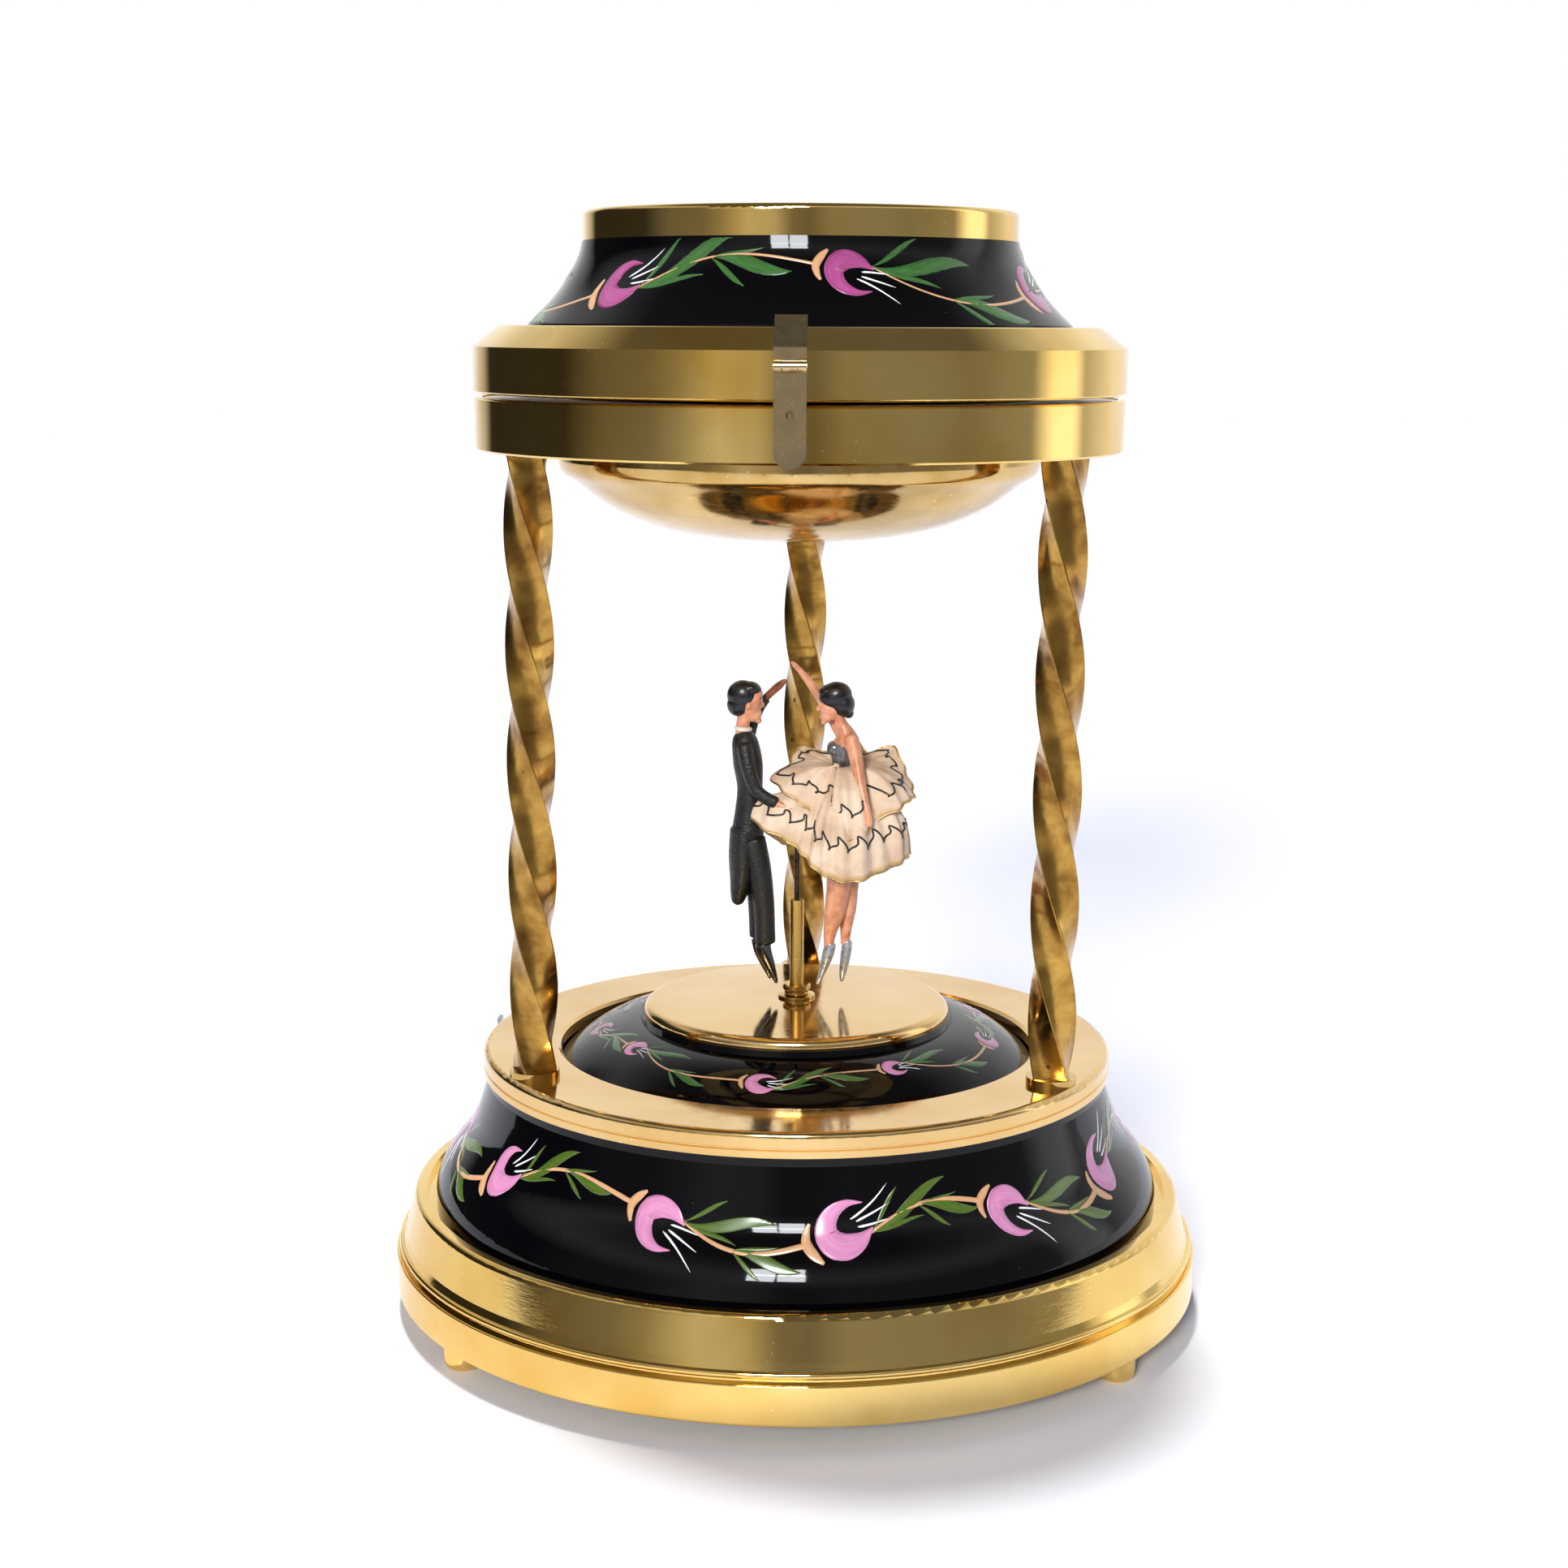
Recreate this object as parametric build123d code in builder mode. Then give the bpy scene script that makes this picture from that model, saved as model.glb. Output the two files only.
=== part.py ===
"""Carousel music box: a dancing couple on a pillared stage, with a lidded trinket bowl above.

Millimetres, +Z up. The origin is on the axis of the round base, at the plane the feet stand on,
and the clasp faces -Y. Heights named h, or ending in _h, are measured from the underside of the
brass base: lift() adds the feet to them.
"""

from build123d import *

import os
from math import atan2, cos, pi, radians, sin, sqrt

os.makedirs("parts", exist_ok=True)

# Driving dimensions
foot_height = 3.8
foot_circle = 59.4
foot_angles = (90, 216, 324)
base_radius = 63.0
base_top = 15.0
skirt_foot, skirt_top = 13.9, 33.7
stage_top = 37.4
stage_radius = 49.0
well_radius = 37.0
disc_radius = 23.9
disc_bottom = 42.1
column_circle = 44.5
column_side = 5.2
quarter_turn = 17.05  # height in which a column twists through 90 degrees
tray_bottom, tray_top = 129.8, 137.6
tray_radius = 48.9
lid_bottom, lid_flat = 138.2, 148.05
lid_radius = 49.05
band_top, lid_top = 160.4, 164.8
# Place on the column circle, height where a ridge points along ridge_way, and ridge_way
columns = {
    "left": (210, 119.1, -82.5),
    "right": (330, 115.1, -94.3),
    "rear": (90, 116.8, -88.7),
}

collar_top = stage_top + 1.0
tenon_radius = 1.45

running_gap = 0.04  # clearance on the radius of every shaft
wall = 1.2

# Movement: bottom plate, bedplate and gear train
plate_bottom, plate_top, bed_top = 10.8, 12.4, 14.0
plate_screw_rings = ((56.5, 3, 30), (40.0, 4, 45))  # circle radius, screws on it, angle of the first
screw_head, screw_slot = 1.1, 0.5
drive_module, fly_module = 0.6, 0.5
great_teeth, spindle_teeth = 44, 12
crown_teeth, cylinder_teeth = 40, 12
fly_wheel_teeth, fly_teeth = 24, 8
spindle_radius = 1.1
barrel_y = -12.6
barrel_distance = drive_module * (great_teeth + spindle_teeth) / 2
barrel_x = -sqrt(barrel_distance**2 - barrel_y**2)
barrel_radius = 9.2
barrel_bottom, wheel_bottom, wheel_top = 14.6, 20.6, 21.8
arbor_radius = 1.5
crown_radius = drive_module * crown_teeth / 2
crown_side = barrel_x + crown_radius
cylinder_h = wheel_top + 1.25 * drive_module + drive_module * cylinder_teeth / 2
drum_radius, drum_start, drum_end = 6.0, 5.0, 24.0
pin_length = 0.5
comb_teeth = 18
fly_angle = 20
fly_distance = fly_module * (fly_wheel_teeth + fly_teeth) / 2
fly_y = barrel_y + fly_distance * cos(radians(fly_angle))
fly_h = cylinder_h - fly_distance * sin(radians(fly_angle))
lever_x, lever_y, lever_h, lever_thick = -14.0, 12.0, 31.2, 0.9
finger_x, finger_y = 32.0, 3.0
tab_x, tab_width, tab_thick, tab_tall = -48.6, 2.6, 0.6, 5.7

# Lid hinge at the back and hasp at the front
hinge_y, hinge_h = 51.2, 137.9
hasp_y, hasp_h = -50.1, 142.9
hasp_width = 4.4
stud_h = 136.5


def lift(h):
    """Height above the floor of a point h above the underside of the base."""
    return foot_height + h


def raised(points):
    """Profile points (radius, h) as points of the row frame's XZ plane."""
    return [(r, lift(h)) for r, h in points]


def level(h):
    """Horizontal plane at height h."""
    return Plane.XY.offset(lift(h))


def facing_y(y):
    """Upright plane at y, drawn in x and height above the floor, that looks along -Y."""
    return Plane(origin=(0, y, 0), x_dir=(1, 0, 0), z_dir=(0, -1, 0))


def facing_x(x):
    """Upright plane at x, drawn in y and height above the floor, that looks along +X."""
    return Plane(origin=(x, 0, 0), x_dir=(0, 1, 0), z_dir=(1, 0, 0))


def around(radius, degrees):
    """Point (x, y) at an angle on a circle about the base's axis."""
    return radius * cos(radians(degrees)), radius * sin(radians(degrees))


def keep(made, name):
    """Labels a finished piece and writes its STEP file."""
    made.part.label = name
    export_step(made.part, f"parts/{name}.step")


def ring(r_in, r_out, bottom, top):
    """Adds a plain ring about the Z axis between two heights."""
    with BuildSketch(level(bottom)) as face:
        Circle(r_out)
        if r_in:
            Circle(r_in, mode=Mode.SUBTRACT)
    extrude(face.sketch, amount=top - bottom)


def turned(*points):
    """Adds a solid of revolution about the Z axis from a closed profile of (radius, h) points."""
    with BuildSketch(Plane.XZ) as profile:
        with BuildLine():
            Polyline(*raised(points), close=True)
        make_face()
    revolve(profile.sketch, axis=Axis.Z)


def gear_outline(teeth, module, first_tooth):
    """Straight-flanked teeth, one of them centred at first_tooth degrees."""
    pitch = module * teeth / 2
    half_tooth = (pi * module / 2 - 0.17) / 2
    corners = (
        (pitch - 1.25 * module, -1.5),
        (pitch + 0.9 * module, -0.42),
        (pitch + 0.9 * module, 0.42),
        (pitch - 1.25 * module, 1.5),
    )
    points = []
    for tooth in range(teeth):
        middle = first_tooth + tooth * 360 / teeth
        for radius, share in corners:
            points.append(around(radius, middle + share * half_tooth / pitch * 180 / pi))
    return points


def limb(start, end, r_start, r_end):
    """Adds a round tapered limb with a ball at its far end."""
    way = Vector(*end) - Vector(*start)
    with Locations(Plane(origin=start, z_dir=way)):
        Cone(r_start, r_end, way.length, align=(Align.CENTER, Align.CENTER, Align.MIN))
    with Locations(end):
        Sphere(r_end)


# Base
with BuildPart() as base_shell:
    with BuildSketch(Plane.XZ):
        with BuildLine():
            edge = Polyline(*raised([(59.7, plate_top), (59.7, 0.0), (62.6, 0.0)]))
            low_round = RadiusArc(edge @ 1, (base_radius, lift(0.4)), -0.4)
            band = Line(low_round @ 1, (base_radius, lift(5.7)))
            high_round = RadiusArc(band @ 1, (62.7, lift(6.0)), -0.3)
            groove = Polyline(high_round @ 1, *raised([(62.1, 6.0), (62.1, 6.55)]))
            bead = ThreePointArc(groove @ 1, (62.55, lift(7.1)), (62.1, lift(7.65)))
            quirk = Line(bead @ 1, (61.95, lift(7.65)))
            slope = Polyline(quirk @ 1, *raised([(61.5, 8.7), (60.1, 14.2)]))
            shoulder = RadiusArc(slope @ 1, (59.3, lift(base_top)), -1.0)
            Polyline(
                shoulder @ 1,
                *raised([(58.1, base_top), (58.1, skirt_foot), (53.5, skirt_foot)]),
                *raised([(53.5, plate_top), (59.7, plate_top)]),
            )
        make_face()
    revolve(axis=Axis.Z)
keep(base_shell, "base_shell")

foot_places = [around(foot_circle, angle) for angle in foot_angles]
with BuildPart() as feet:
    with BuildSketch(Plane.XY):
        with Locations(*foot_places):
            Circle(2.9)
    extrude(amount=foot_height)
    fillet(feet.edges().group_by(Axis.Z)[0], 1.5)
    with BuildSketch(level(0)):
        with Locations(*foot_places):
            Circle(2.9)
        Circle(59.6, mode=Mode.INTERSECT)
    extrude(amount=3)
keep(feet, "feet")

with BuildPart() as base_skirt:
    with BuildSketch(Plane.XZ):
        with BuildLine():
            outer = Spline(
                *raised([(56.7, 15.4), (55.6, 18.4), (53.9, 20.9), (51.5, 23.8), (49.7, 28.0)]),
                (48.4, lift(32.3)),
            )
            top = Polyline(outer @ 1, *raised([(48.4, skirt_top), (47.0, skirt_top)]))
            inner = Spline(
                top @ 1,
                *raised([(47.0, 32.0), (48.3, 27.6), (50.1, 23.2), (52.4, 20.2), (54.2, 17.7)]),
                (55.2, lift(15.2)),
            )
            Polyline(inner @ 1, *raised([(55.3, skirt_foot), (56.7, skirt_foot), (56.7, 15.4)]))
        make_face()
    revolve(axis=Axis.Z)
    with BuildSketch(level(lever_h - 0.7)):
        with Locations((-48, lever_y)):
            Rectangle(8, 7.6)
    extrude(amount=skirt_top - lever_h + 0.7, mode=Mode.SUBTRACT)
keep(base_skirt, "base_skirt")

with BuildPart() as stage_ring:
    with BuildSketch(Plane.XZ):
        with BuildLine():
            rim = Polyline(*raised([(well_radius, skirt_top), (stage_radius, skirt_top)]))
            side = Polyline(
                rim @ 1,
                *raised([(stage_radius, 34.7), (48.75, 34.85), (48.75, 35.0), (stage_radius, 35.15)]),
                (stage_radius, lift(36.5)),
            )
            corner = RadiusArc(side @ 1, (48.1, lift(stage_top)), -0.9)
            Polyline(
                corner @ 1,
                *raised([(37.5, stage_top), (well_radius, 37.0), (well_radius, skirt_top)]),
            )
        make_face()
    revolve(axis=Axis.Z)
    with BuildSketch(level(skirt_top)):
        with PolarLocations(column_circle, 3, start_angle=90):
            Circle(1.5)
    extrude(amount=5, mode=Mode.SUBTRACT)
keep(stage_ring, "stage_ring")

with BuildPart() as stage_dome:
    with BuildSketch(Plane.XZ):
        with BuildLine():
            flange = Polyline(*raised([(36.8, 32.5), (46.6, 32.5), (46.6, 33.7), (36.8, 33.7)]))
            crown = ThreePointArc((36.8, lift(35.2)), (31.2, lift(39.2)), (24.6, lift(41.2)))
            step = Polyline(crown @ 1, *raised([(24.4, 42.1), (2.6, 42.1), (2.6, 40.7)]))
            under = Polyline(step @ 1, (23.4, lift(40.7)))
            ThreePointArc(under @ 1, (30.4, lift(38.2)), (35.2, lift(34.6)))
            Polyline((35.2, lift(34.6)), (35.2, lift(32.5)), flange @ 0)
            Line(flange @ 1, crown @ 0)
        make_face()
    revolve(axis=Axis.Z)
keep(stage_dome, "stage_dome")

with BuildPart() as stage_disc:
    with BuildSketch(Plane.XZ):
        with BuildLine():
            bottom = Polyline(*raised([(2.4, disc_bottom), (disc_radius, disc_bottom)]))
            edge = ThreePointArc(bottom @ 1, (23.7, lift(43.1)), (22.7, lift(43.7)))
            face = ThreePointArc(edge @ 1, (12.5, lift(44.1)), (2.4, lift(44.2)))
            Line(face @ 1, bottom @ 0)
        make_face()
    revolve(axis=Axis.Z)
keep(stage_disc, "stage_disc")

with BuildPart() as spindle_bush:
    bore = spindle_radius + running_gap
    turned((bore, 40.7), (2.35, 40.7), (2.35, 44.25), (2.9, 44.25), (2.9, 44.6), (1.9, 44.9),
           (1.9, 45.2), (bore, 45.2))
keep(spindle_bush, "spindle_bush")

with BuildPart() as bottom_plate:
    ring(0, 59.3, plate_bottom, plate_top)
    with BuildSketch(level(plate_bottom)):
        with Locations((barrel_x, barrel_y)):
            Circle(arbor_radius + 0.3)
        for radius, count, first in plate_screw_rings:
            with PolarLocations(radius, count, start_angle=first):
                Circle(1.1)
    extrude(amount=plate_top - plate_bottom, mode=Mode.SUBTRACT)
keep(bottom_plate, "bottom_plate")

with BuildPart() as plate_screws:
    with BuildSketch(level(plate_bottom)):
        for radius, count, first in plate_screw_rings:
            with PolarLocations(radius, count, start_angle=first):
                Circle(2.0)
    extrude(amount=-screw_head)
    with BuildSketch(level(plate_bottom)):
        for radius, count, first in plate_screw_rings:
            with PolarLocations(radius, count, start_angle=first):
                Circle(1.0)
    extrude(amount=plate_top - plate_bottom)
    with BuildSketch(level(plate_bottom - screw_head)):
        for radius, count, first in plate_screw_rings:
            with PolarLocations(radius, count, start_angle=first):
                Rectangle(screw_slot, 3.6)
    extrude(amount=screw_slot, mode=Mode.SUBTRACT)
keep(plate_screws, "plate_screws")

# Columns
for name, (place, ridge_h, ridge_way) in columns.items():
    x, y = around(column_circle, place)
    length = tray_bottom - collar_top
    start = ridge_way + (ridge_h - collar_top) / quarter_turn * 90 - 45
    with BuildSketch(Plane((x, y, lift(collar_top)), x_dir=(*around(1, start), 0))) as bar:
        RectangleRounded(column_side, column_side, 0.25)
    with BuildPart() as column:
        add(
            Solid.extrude_linear_with_rotation(
                bar.sketch.face(),
                (x, y, lift(collar_top)),
                (0, 0, length),
                -length / quarter_turn * 90,
            )
        )
        for bottom, top in ((skirt_top, collar_top), (tray_bottom, tray_bottom + 3.4)):
            with BuildSketch(level(bottom)):
                with Locations((x, y)):
                    Circle(tenon_radius)
            extrude(amount=top - bottom)
    keep(column, f"column_{name}")

with BuildPart() as column_collars:
    with BuildSketch(level(stage_top)):
        with PolarLocations(column_circle, 3, start_angle=90):
            Circle(3.75)
            Circle(tenon_radius, mode=Mode.SUBTRACT)
    extrude(amount=collar_top - stage_top)
keep(column_collars, "column_collars")

with BuildPart() as column_nuts:
    with BuildSketch(level(tray_bottom + wall)):
        with PolarLocations(column_circle, 3, start_angle=90):
            RegularPolygon(2.8, 6)
            Circle(tenon_radius, mode=Mode.SUBTRACT)
    extrude(amount=2.0)
keep(column_nuts, "column_nuts")

# Trinket bowl
with BuildPart() as tray_ring:
    turned(
        (37.0, tray_bottom), (48.6, tray_bottom), (tray_radius, tray_bottom + 0.3),
        (tray_radius, tray_top - 0.3), (48.6, tray_top), (47.7, tray_top),
        (47.7, tray_bottom + wall), (37.0, tray_bottom + wall),
    )
    with BuildSketch(level(tray_bottom)):
        with PolarLocations(column_circle, 3, start_angle=90):
            Circle(tenon_radius)
    extrude(amount=wall, mode=Mode.SUBTRACT)
    with BuildSketch(facing_y(-47.0)):
        with Locations((0, lift(stud_h))):
            Circle(0.45)
    extrude(amount=2.4, mode=Mode.SUBTRACT)
keep(tray_ring, "tray_ring")

with BuildPart() as tray_bowl:
    with BuildSketch(Plane.XZ):
        with BuildLine():
            brim = Polyline(*raised([(36.5, 128.2), (36.5, 136.4), (47.5, 136.4)]))
            rim = Polyline(brim @ 1, *raised([(47.5, 137.4), (35.6, 137.4), (35.4, 137.2)]))
            inside = Spline(
                rim @ 1,
                *raised([(35.3, 128.8), (33.5, 126.3), (30.2, 123.8), (24.3, 120.5)]),
                (16.0, lift(118.2)),
                (0, lift(117.6)),
                tangents=[(0, -1), (-1, 0)],
            )
            Line(inside @ 1, (0, lift(116.6)))
            Spline(
                (0, lift(116.6)),
                *raised([(16.1, 117.1), (24.7, 119.4), (30.8, 122.7), (34.4, 125.4)]),
                brim @ 0,
                tangents=[(1, 0), (0, 1)],
            )
        make_face()
    revolve(axis=Axis.Z)
keep(tray_bowl, "tray_bowl")

with BuildPart() as catch_stud:
    with BuildSketch(facing_y(-47.6)):
        with Locations((0, lift(stud_h))):
            Circle(0.43)
    extrude(amount=49.38 - 47.6)
keep(catch_stud, "catch_stud")

# Lid
with BuildPart() as lid_ring:
    turned(
        (47.8, lid_bottom), (48.75, lid_bottom), (lid_radius, lid_bottom + 0.3),
        (lid_radius, 144.95), (45.3, 147.9), (45.0, lid_flat), (41.0, lid_flat),
        (41.0, lid_flat - wall), (44.4, lid_flat - wall), (47.8, 144.4),
    )
keep(lid_ring, "lid_ring")

with BuildPart() as lid_band:
    with BuildSketch(Plane.XZ):
        with BuildLine():
            foot = Polyline(*raised([(44.2, 145.7), (44.2, 146.8), (40.8, 146.8), (40.8, 148.3)]))
            flare = Spline(
                foot @ 1,
                *raised([(38.3, 150.7), (36.3, 153.0), (34.7, 155.4), (33.4, 157.8)]),
                (32.66, lift(band_top)),
            )
            top = Line(flare @ 1, (31.5, lift(band_top)))
            lining = Spline(
                top @ 1,
                *raised([(32.2, 157.6), (33.5, 154.9), (35.2, 152.3), (37.3, 149.8)]),
                (39.6, lift(147.6)),
            )
            Polyline(lining @ 1, (39.6, lift(145.7)), foot @ 0)
        make_face()
    revolve(axis=Axis.Z)
keep(lid_band, "lid_band")

with BuildPart() as lid_rim:
    with BuildSketch(Plane.XZ):
        with BuildLine():
            outside = Line((32.5, lift(band_top)), (32.5, lift(lid_top - 0.8)))
            over = ThreePointArc(outside @ 1, (31.7, lift(lid_top)), (30.9, lift(lid_top - 0.8)))
            Polyline(
                over @ 1, *raised([(30.9, 161.6), (29.4, 161.6), (29.4, band_top)]), outside @ 0
            )
        make_face()
    revolve(axis=Axis.Z)
keep(lid_rim, "lid_rim")

with BuildPart() as lid_plate:
    with BuildSketch(Plane.XZ):
        with BuildLine():
            under = Polyline(*raised([(0, 161.6), (30.7, 161.6), (30.7, 162.4)]))
            Spline(under @ 1, (0, lift(163.7)), tangents=[(-1, 0.1), (-1, 0)])
            Line((0, lift(163.7)), under @ 0)
        make_face()
    revolve(axis=Axis.Z)
keep(lid_plate, "lid_plate")

with BuildPart() as lid_mirror:
    ring(0, 43.6, 144.4, 145.7)
keep(lid_mirror, "lid_mirror")

with BuildPart() as mirror_ring:
    ring(41.0, 47.6, 143.2, 144.4)
keep(mirror_ring, "mirror_ring")

# Hinge and hasp
hinge_pieces = {
    "hinge_leaf_lower": ((49.05, 130.8, 49.75, 136.2), (49.05, 136.2, 50.8, hinge_h), (-5.0, 5.0)),
    "hinge_leaf_upper": ((49.2, 139.6, 49.9, 144.8), (49.2, hinge_h, 50.8, 139.6), (0.0,)),
}
for name, (plate, web, knuckles) in hinge_pieces.items():
    knuckle_width = 4.0 if len(knuckles) == 2 else 5.8
    with BuildPart() as leaf:
        with BuildSketch(facing_x(-7)):
            with Locations(((plate[0] + plate[2]) / 2, lift((plate[1] + plate[3]) / 2))):
                Rectangle(plate[2] - plate[0], plate[3] - plate[1])
        extrude(amount=14)
        for middle in knuckles:
            with BuildSketch(facing_x(middle - knuckle_width / 2)):
                with Locations((hinge_y, lift(hinge_h))):
                    Circle(1.6)
                with Locations(((web[0] + web[2]) / 2, lift((web[1] + web[3]) / 2))):
                    Rectangle(web[2] - web[0], web[3] - web[1])
            extrude(amount=knuckle_width)
        with BuildSketch(facing_x(-7)):
            with Locations((hinge_y, lift(hinge_h))):
                Circle(0.75 + running_gap)
        extrude(amount=14, mode=Mode.SUBTRACT)
    keep(leaf, name)

with BuildPart() as hinge_pin:
    with BuildSketch(facing_x(-7.4)):
        with Locations((hinge_y, lift(hinge_h))):
            Circle(0.75)
    extrude(amount=14.8)
keep(hinge_pin, "hinge_pin")

with BuildPart() as hasp_bracket:
    with BuildSketch(facing_x(-hasp_width / 2)):
        with BuildLine():
            Polyline(
                *raised([(-49.15, 143.9), (-49.15, 145.05), (-45.4, 148.15), (-44.7, 148.2)]),
                *raised([(-44.3, 149.6), (-44.9, 149.65), (-46.0, 148.95), (-49.85, 145.4)]),
                *raised([(-49.85, 143.9)]),
                close=True,
            )
        make_face()
    extrude(amount=hasp_width)
    with BuildSketch(facing_x(-1)):
        with Locations((hasp_y, lift(hasp_h))):
            Circle(0.75)
        with Locations((-49.6, lift(143.4))):
            Rectangle(0.9, 1.0)
    extrude(amount=2)
    with BuildSketch(facing_x(-2)):
        with Locations((hasp_y, lift(hasp_h))):
            Circle(0.3 + running_gap)
    extrude(amount=4, mode=Mode.SUBTRACT)
keep(hasp_bracket, "hasp_bracket")

with BuildPart() as hasp:
    with BuildSketch(facing_y(-49.5)):
        with Locations((0, lift(136.7))):
            Rectangle(hasp_width, 11.2)
        with Locations((0, lift(131.6))):
            Circle(hasp_width / 2)
        with Locations((0, lift(stud_h))):
            Circle(0.55, mode=Mode.SUBTRACT)
    extrude(amount=0.6)
    with BuildSketch(facing_x(-hasp_width / 2)):
        with Locations((hasp_y, lift(hasp_h))):
            Circle(0.75)
        with Locations((-49.8, lift(142.4))):
            Rectangle(0.6, 1.0)
    extrude(amount=hasp_width)
    with BuildSketch(facing_x(-1.1)):
        with Locations((hasp_y, lift(hasp_h))):
            Rectangle(2.4, 1.8)
    extrude(amount=2.2, mode=Mode.SUBTRACT)
    with BuildSketch(facing_x(-3)):
        with Locations((hasp_y, lift(hasp_h))):
            Circle(0.3 + running_gap)
    extrude(amount=6, mode=Mode.SUBTRACT)
keep(hasp, "hasp")

with BuildPart() as hasp_pin:
    with BuildSketch(facing_x(-2.3)):
        with Locations((hasp_y, lift(hasp_h))):
            Circle(0.3)
    extrude(amount=4.6)
keep(hasp_pin, "hasp_pin")

# Movement: frame
bridge_posts = [
    (barrel_x + 17.0 * cos(radians(turn)), barrel_y + 17.0 * sin(radians(turn)))
    for turn in (110, 250)
]
bridge_bottom, bridge_top = 24.6, 25.8

with BuildPart() as bedplate:
    ring(0, 44.0, plate_top, bed_top)
    with BuildSketch(level(plate_top)):
        with Locations((barrel_x, barrel_y)):
            Circle(arbor_radius + running_gap)
        Circle(spindle_radius + running_gap)
        with PolarLocations(40.0, 4, start_angle=45):
            Circle(1.1)
    extrude(amount=bed_top - plate_top, mode=Mode.SUBTRACT)
keep(bedplate, "bedplate")

with BuildPart() as barrel_bridge:
    with BuildSketch(level(bridge_bottom)):
        with Locations((barrel_x, barrel_y), *bridge_posts):
            Circle(2.6)
        make_hull()
        with Locations((barrel_x, barrel_y)):
            Circle(1.2 + running_gap, mode=Mode.SUBTRACT)
    extrude(amount=bridge_top - bridge_bottom)
    with BuildSketch(level(bed_top)):
        with Locations(*bridge_posts):
            Circle(1.7)
    extrude(amount=bridge_bottom - bed_top)
keep(barrel_bridge, "barrel_bridge")

bearing_boss, bearing_foot, foot_screw = 2.6, 4.8, 3.8
# Bearing plates across the cylinder and fly arbors: (x, bores as (y, h, radius))
bearings = {
    "bearing_left": (3.0, [(barrel_y, cylinder_h, 1.0)]),
    "bearing_right": (26.0, [(barrel_y, cylinder_h, 1.0), (fly_y, fly_h, 0.6)]),
    "bearing_fly": (36.0, [(fly_y, fly_h, 0.6)]),
}
for name, (x, bores) in bearings.items():
    with BuildPart() as bearing:
        with BuildSketch(facing_x(x)):
            for y, h, radius in bores:
                with Locations((y, lift(h))):
                    Circle(bearing_boss)
                with Locations((y, lift(bed_top + 1))):
                    Rectangle(2 * bearing_boss, 2)
            make_hull()
            for y, h, radius in bores:
                with Locations((y, lift(h))):
                    Circle(radius + running_gap, mode=Mode.SUBTRACT)
        extrude(amount=wall)
        with BuildSketch(level(bed_top)):
            for y, h, radius in bores:
                with Locations((x + 1 + bearing_foot / 2, y)):
                    Rectangle(bearing_foot, 2 * bearing_boss)
        extrude(amount=wall)
        with Locations(*[(x + foot_screw, y, lift(bed_top + wall)) for y, h, radius in bores]):
            Hole(0.8)
    keep(bearing, name)

screw_places = [(x + foot_screw, y) for x, bores in bearings.values() for y, h, radius in bores]
with BuildPart() as bearing_screws:
    with Locations(*[(x, y, lift(bed_top)) for x, y in screw_places]):
        Cylinder(0.78, wall, align=(Align.CENTER, Align.CENTER, Align.MIN))
    with Locations(*[(x, y, lift(bed_top + wall)) for x, y in screw_places]):
        Cylinder(1.4, 0.8, align=(Align.CENTER, Align.CENTER, Align.MIN))
keep(bearing_screws, "bearing_screws")

# Movement: comb
comb_tip_y = barrel_y - drum_radius - pin_length - 0.12
comb_bottom = cylinder_h - 0.4
comb_screw_y, comb_screw_x = -32.5, (9.0, 20.0)
with BuildPart() as comb_base:
    with BuildSketch(level(bed_top)):
        with Locations(((drum_start + drum_end) / 2, comb_screw_y)):
            Rectangle(19, 7)
    extrude(amount=comb_bottom - bed_top)
    with Locations(*[(x, comb_screw_y, lift(comb_bottom)) for x in comb_screw_x]):
        Hole(0.9, 5)
keep(comb_base, "comb_base")

with BuildPart() as comb:
    with BuildSketch(level(comb_bottom)):
        with BuildLine():
            Polyline(
                (5.5, comb_tip_y), (23.5, comb_tip_y), (23.5, -36.0), (5.5, -36.0), close=True
            )
        make_face()
        for slot in range(1, comb_teeth):
            slot_end = -24.5 - 3.6 * slot / comb_teeth
            with Locations((5.5 + slot, (comb_tip_y + 1 + slot_end) / 2)):
                Rectangle(0.3, comb_tip_y + 1 - slot_end, mode=Mode.SUBTRACT)
        with Locations(*[(x, comb_screw_y) for x in comb_screw_x]):
            Circle(1.0, mode=Mode.SUBTRACT)
    extrude(amount=0.8)
keep(comb, "comb")

with BuildPart() as comb_screws:
    for x in comb_screw_x:
        with Locations((x, comb_screw_y, lift(comb_bottom - 3.6))):
            Cylinder(0.88, 4.4, align=(Align.CENTER, Align.CENTER, Align.MIN))
        with Locations((x, comb_screw_y, lift(comb_bottom + 0.8))):
            Cylinder(1.7, 1.0, align=(Align.CENTER, Align.CENTER, Align.MIN))
keep(comb_screws, "comb_screws")

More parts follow.
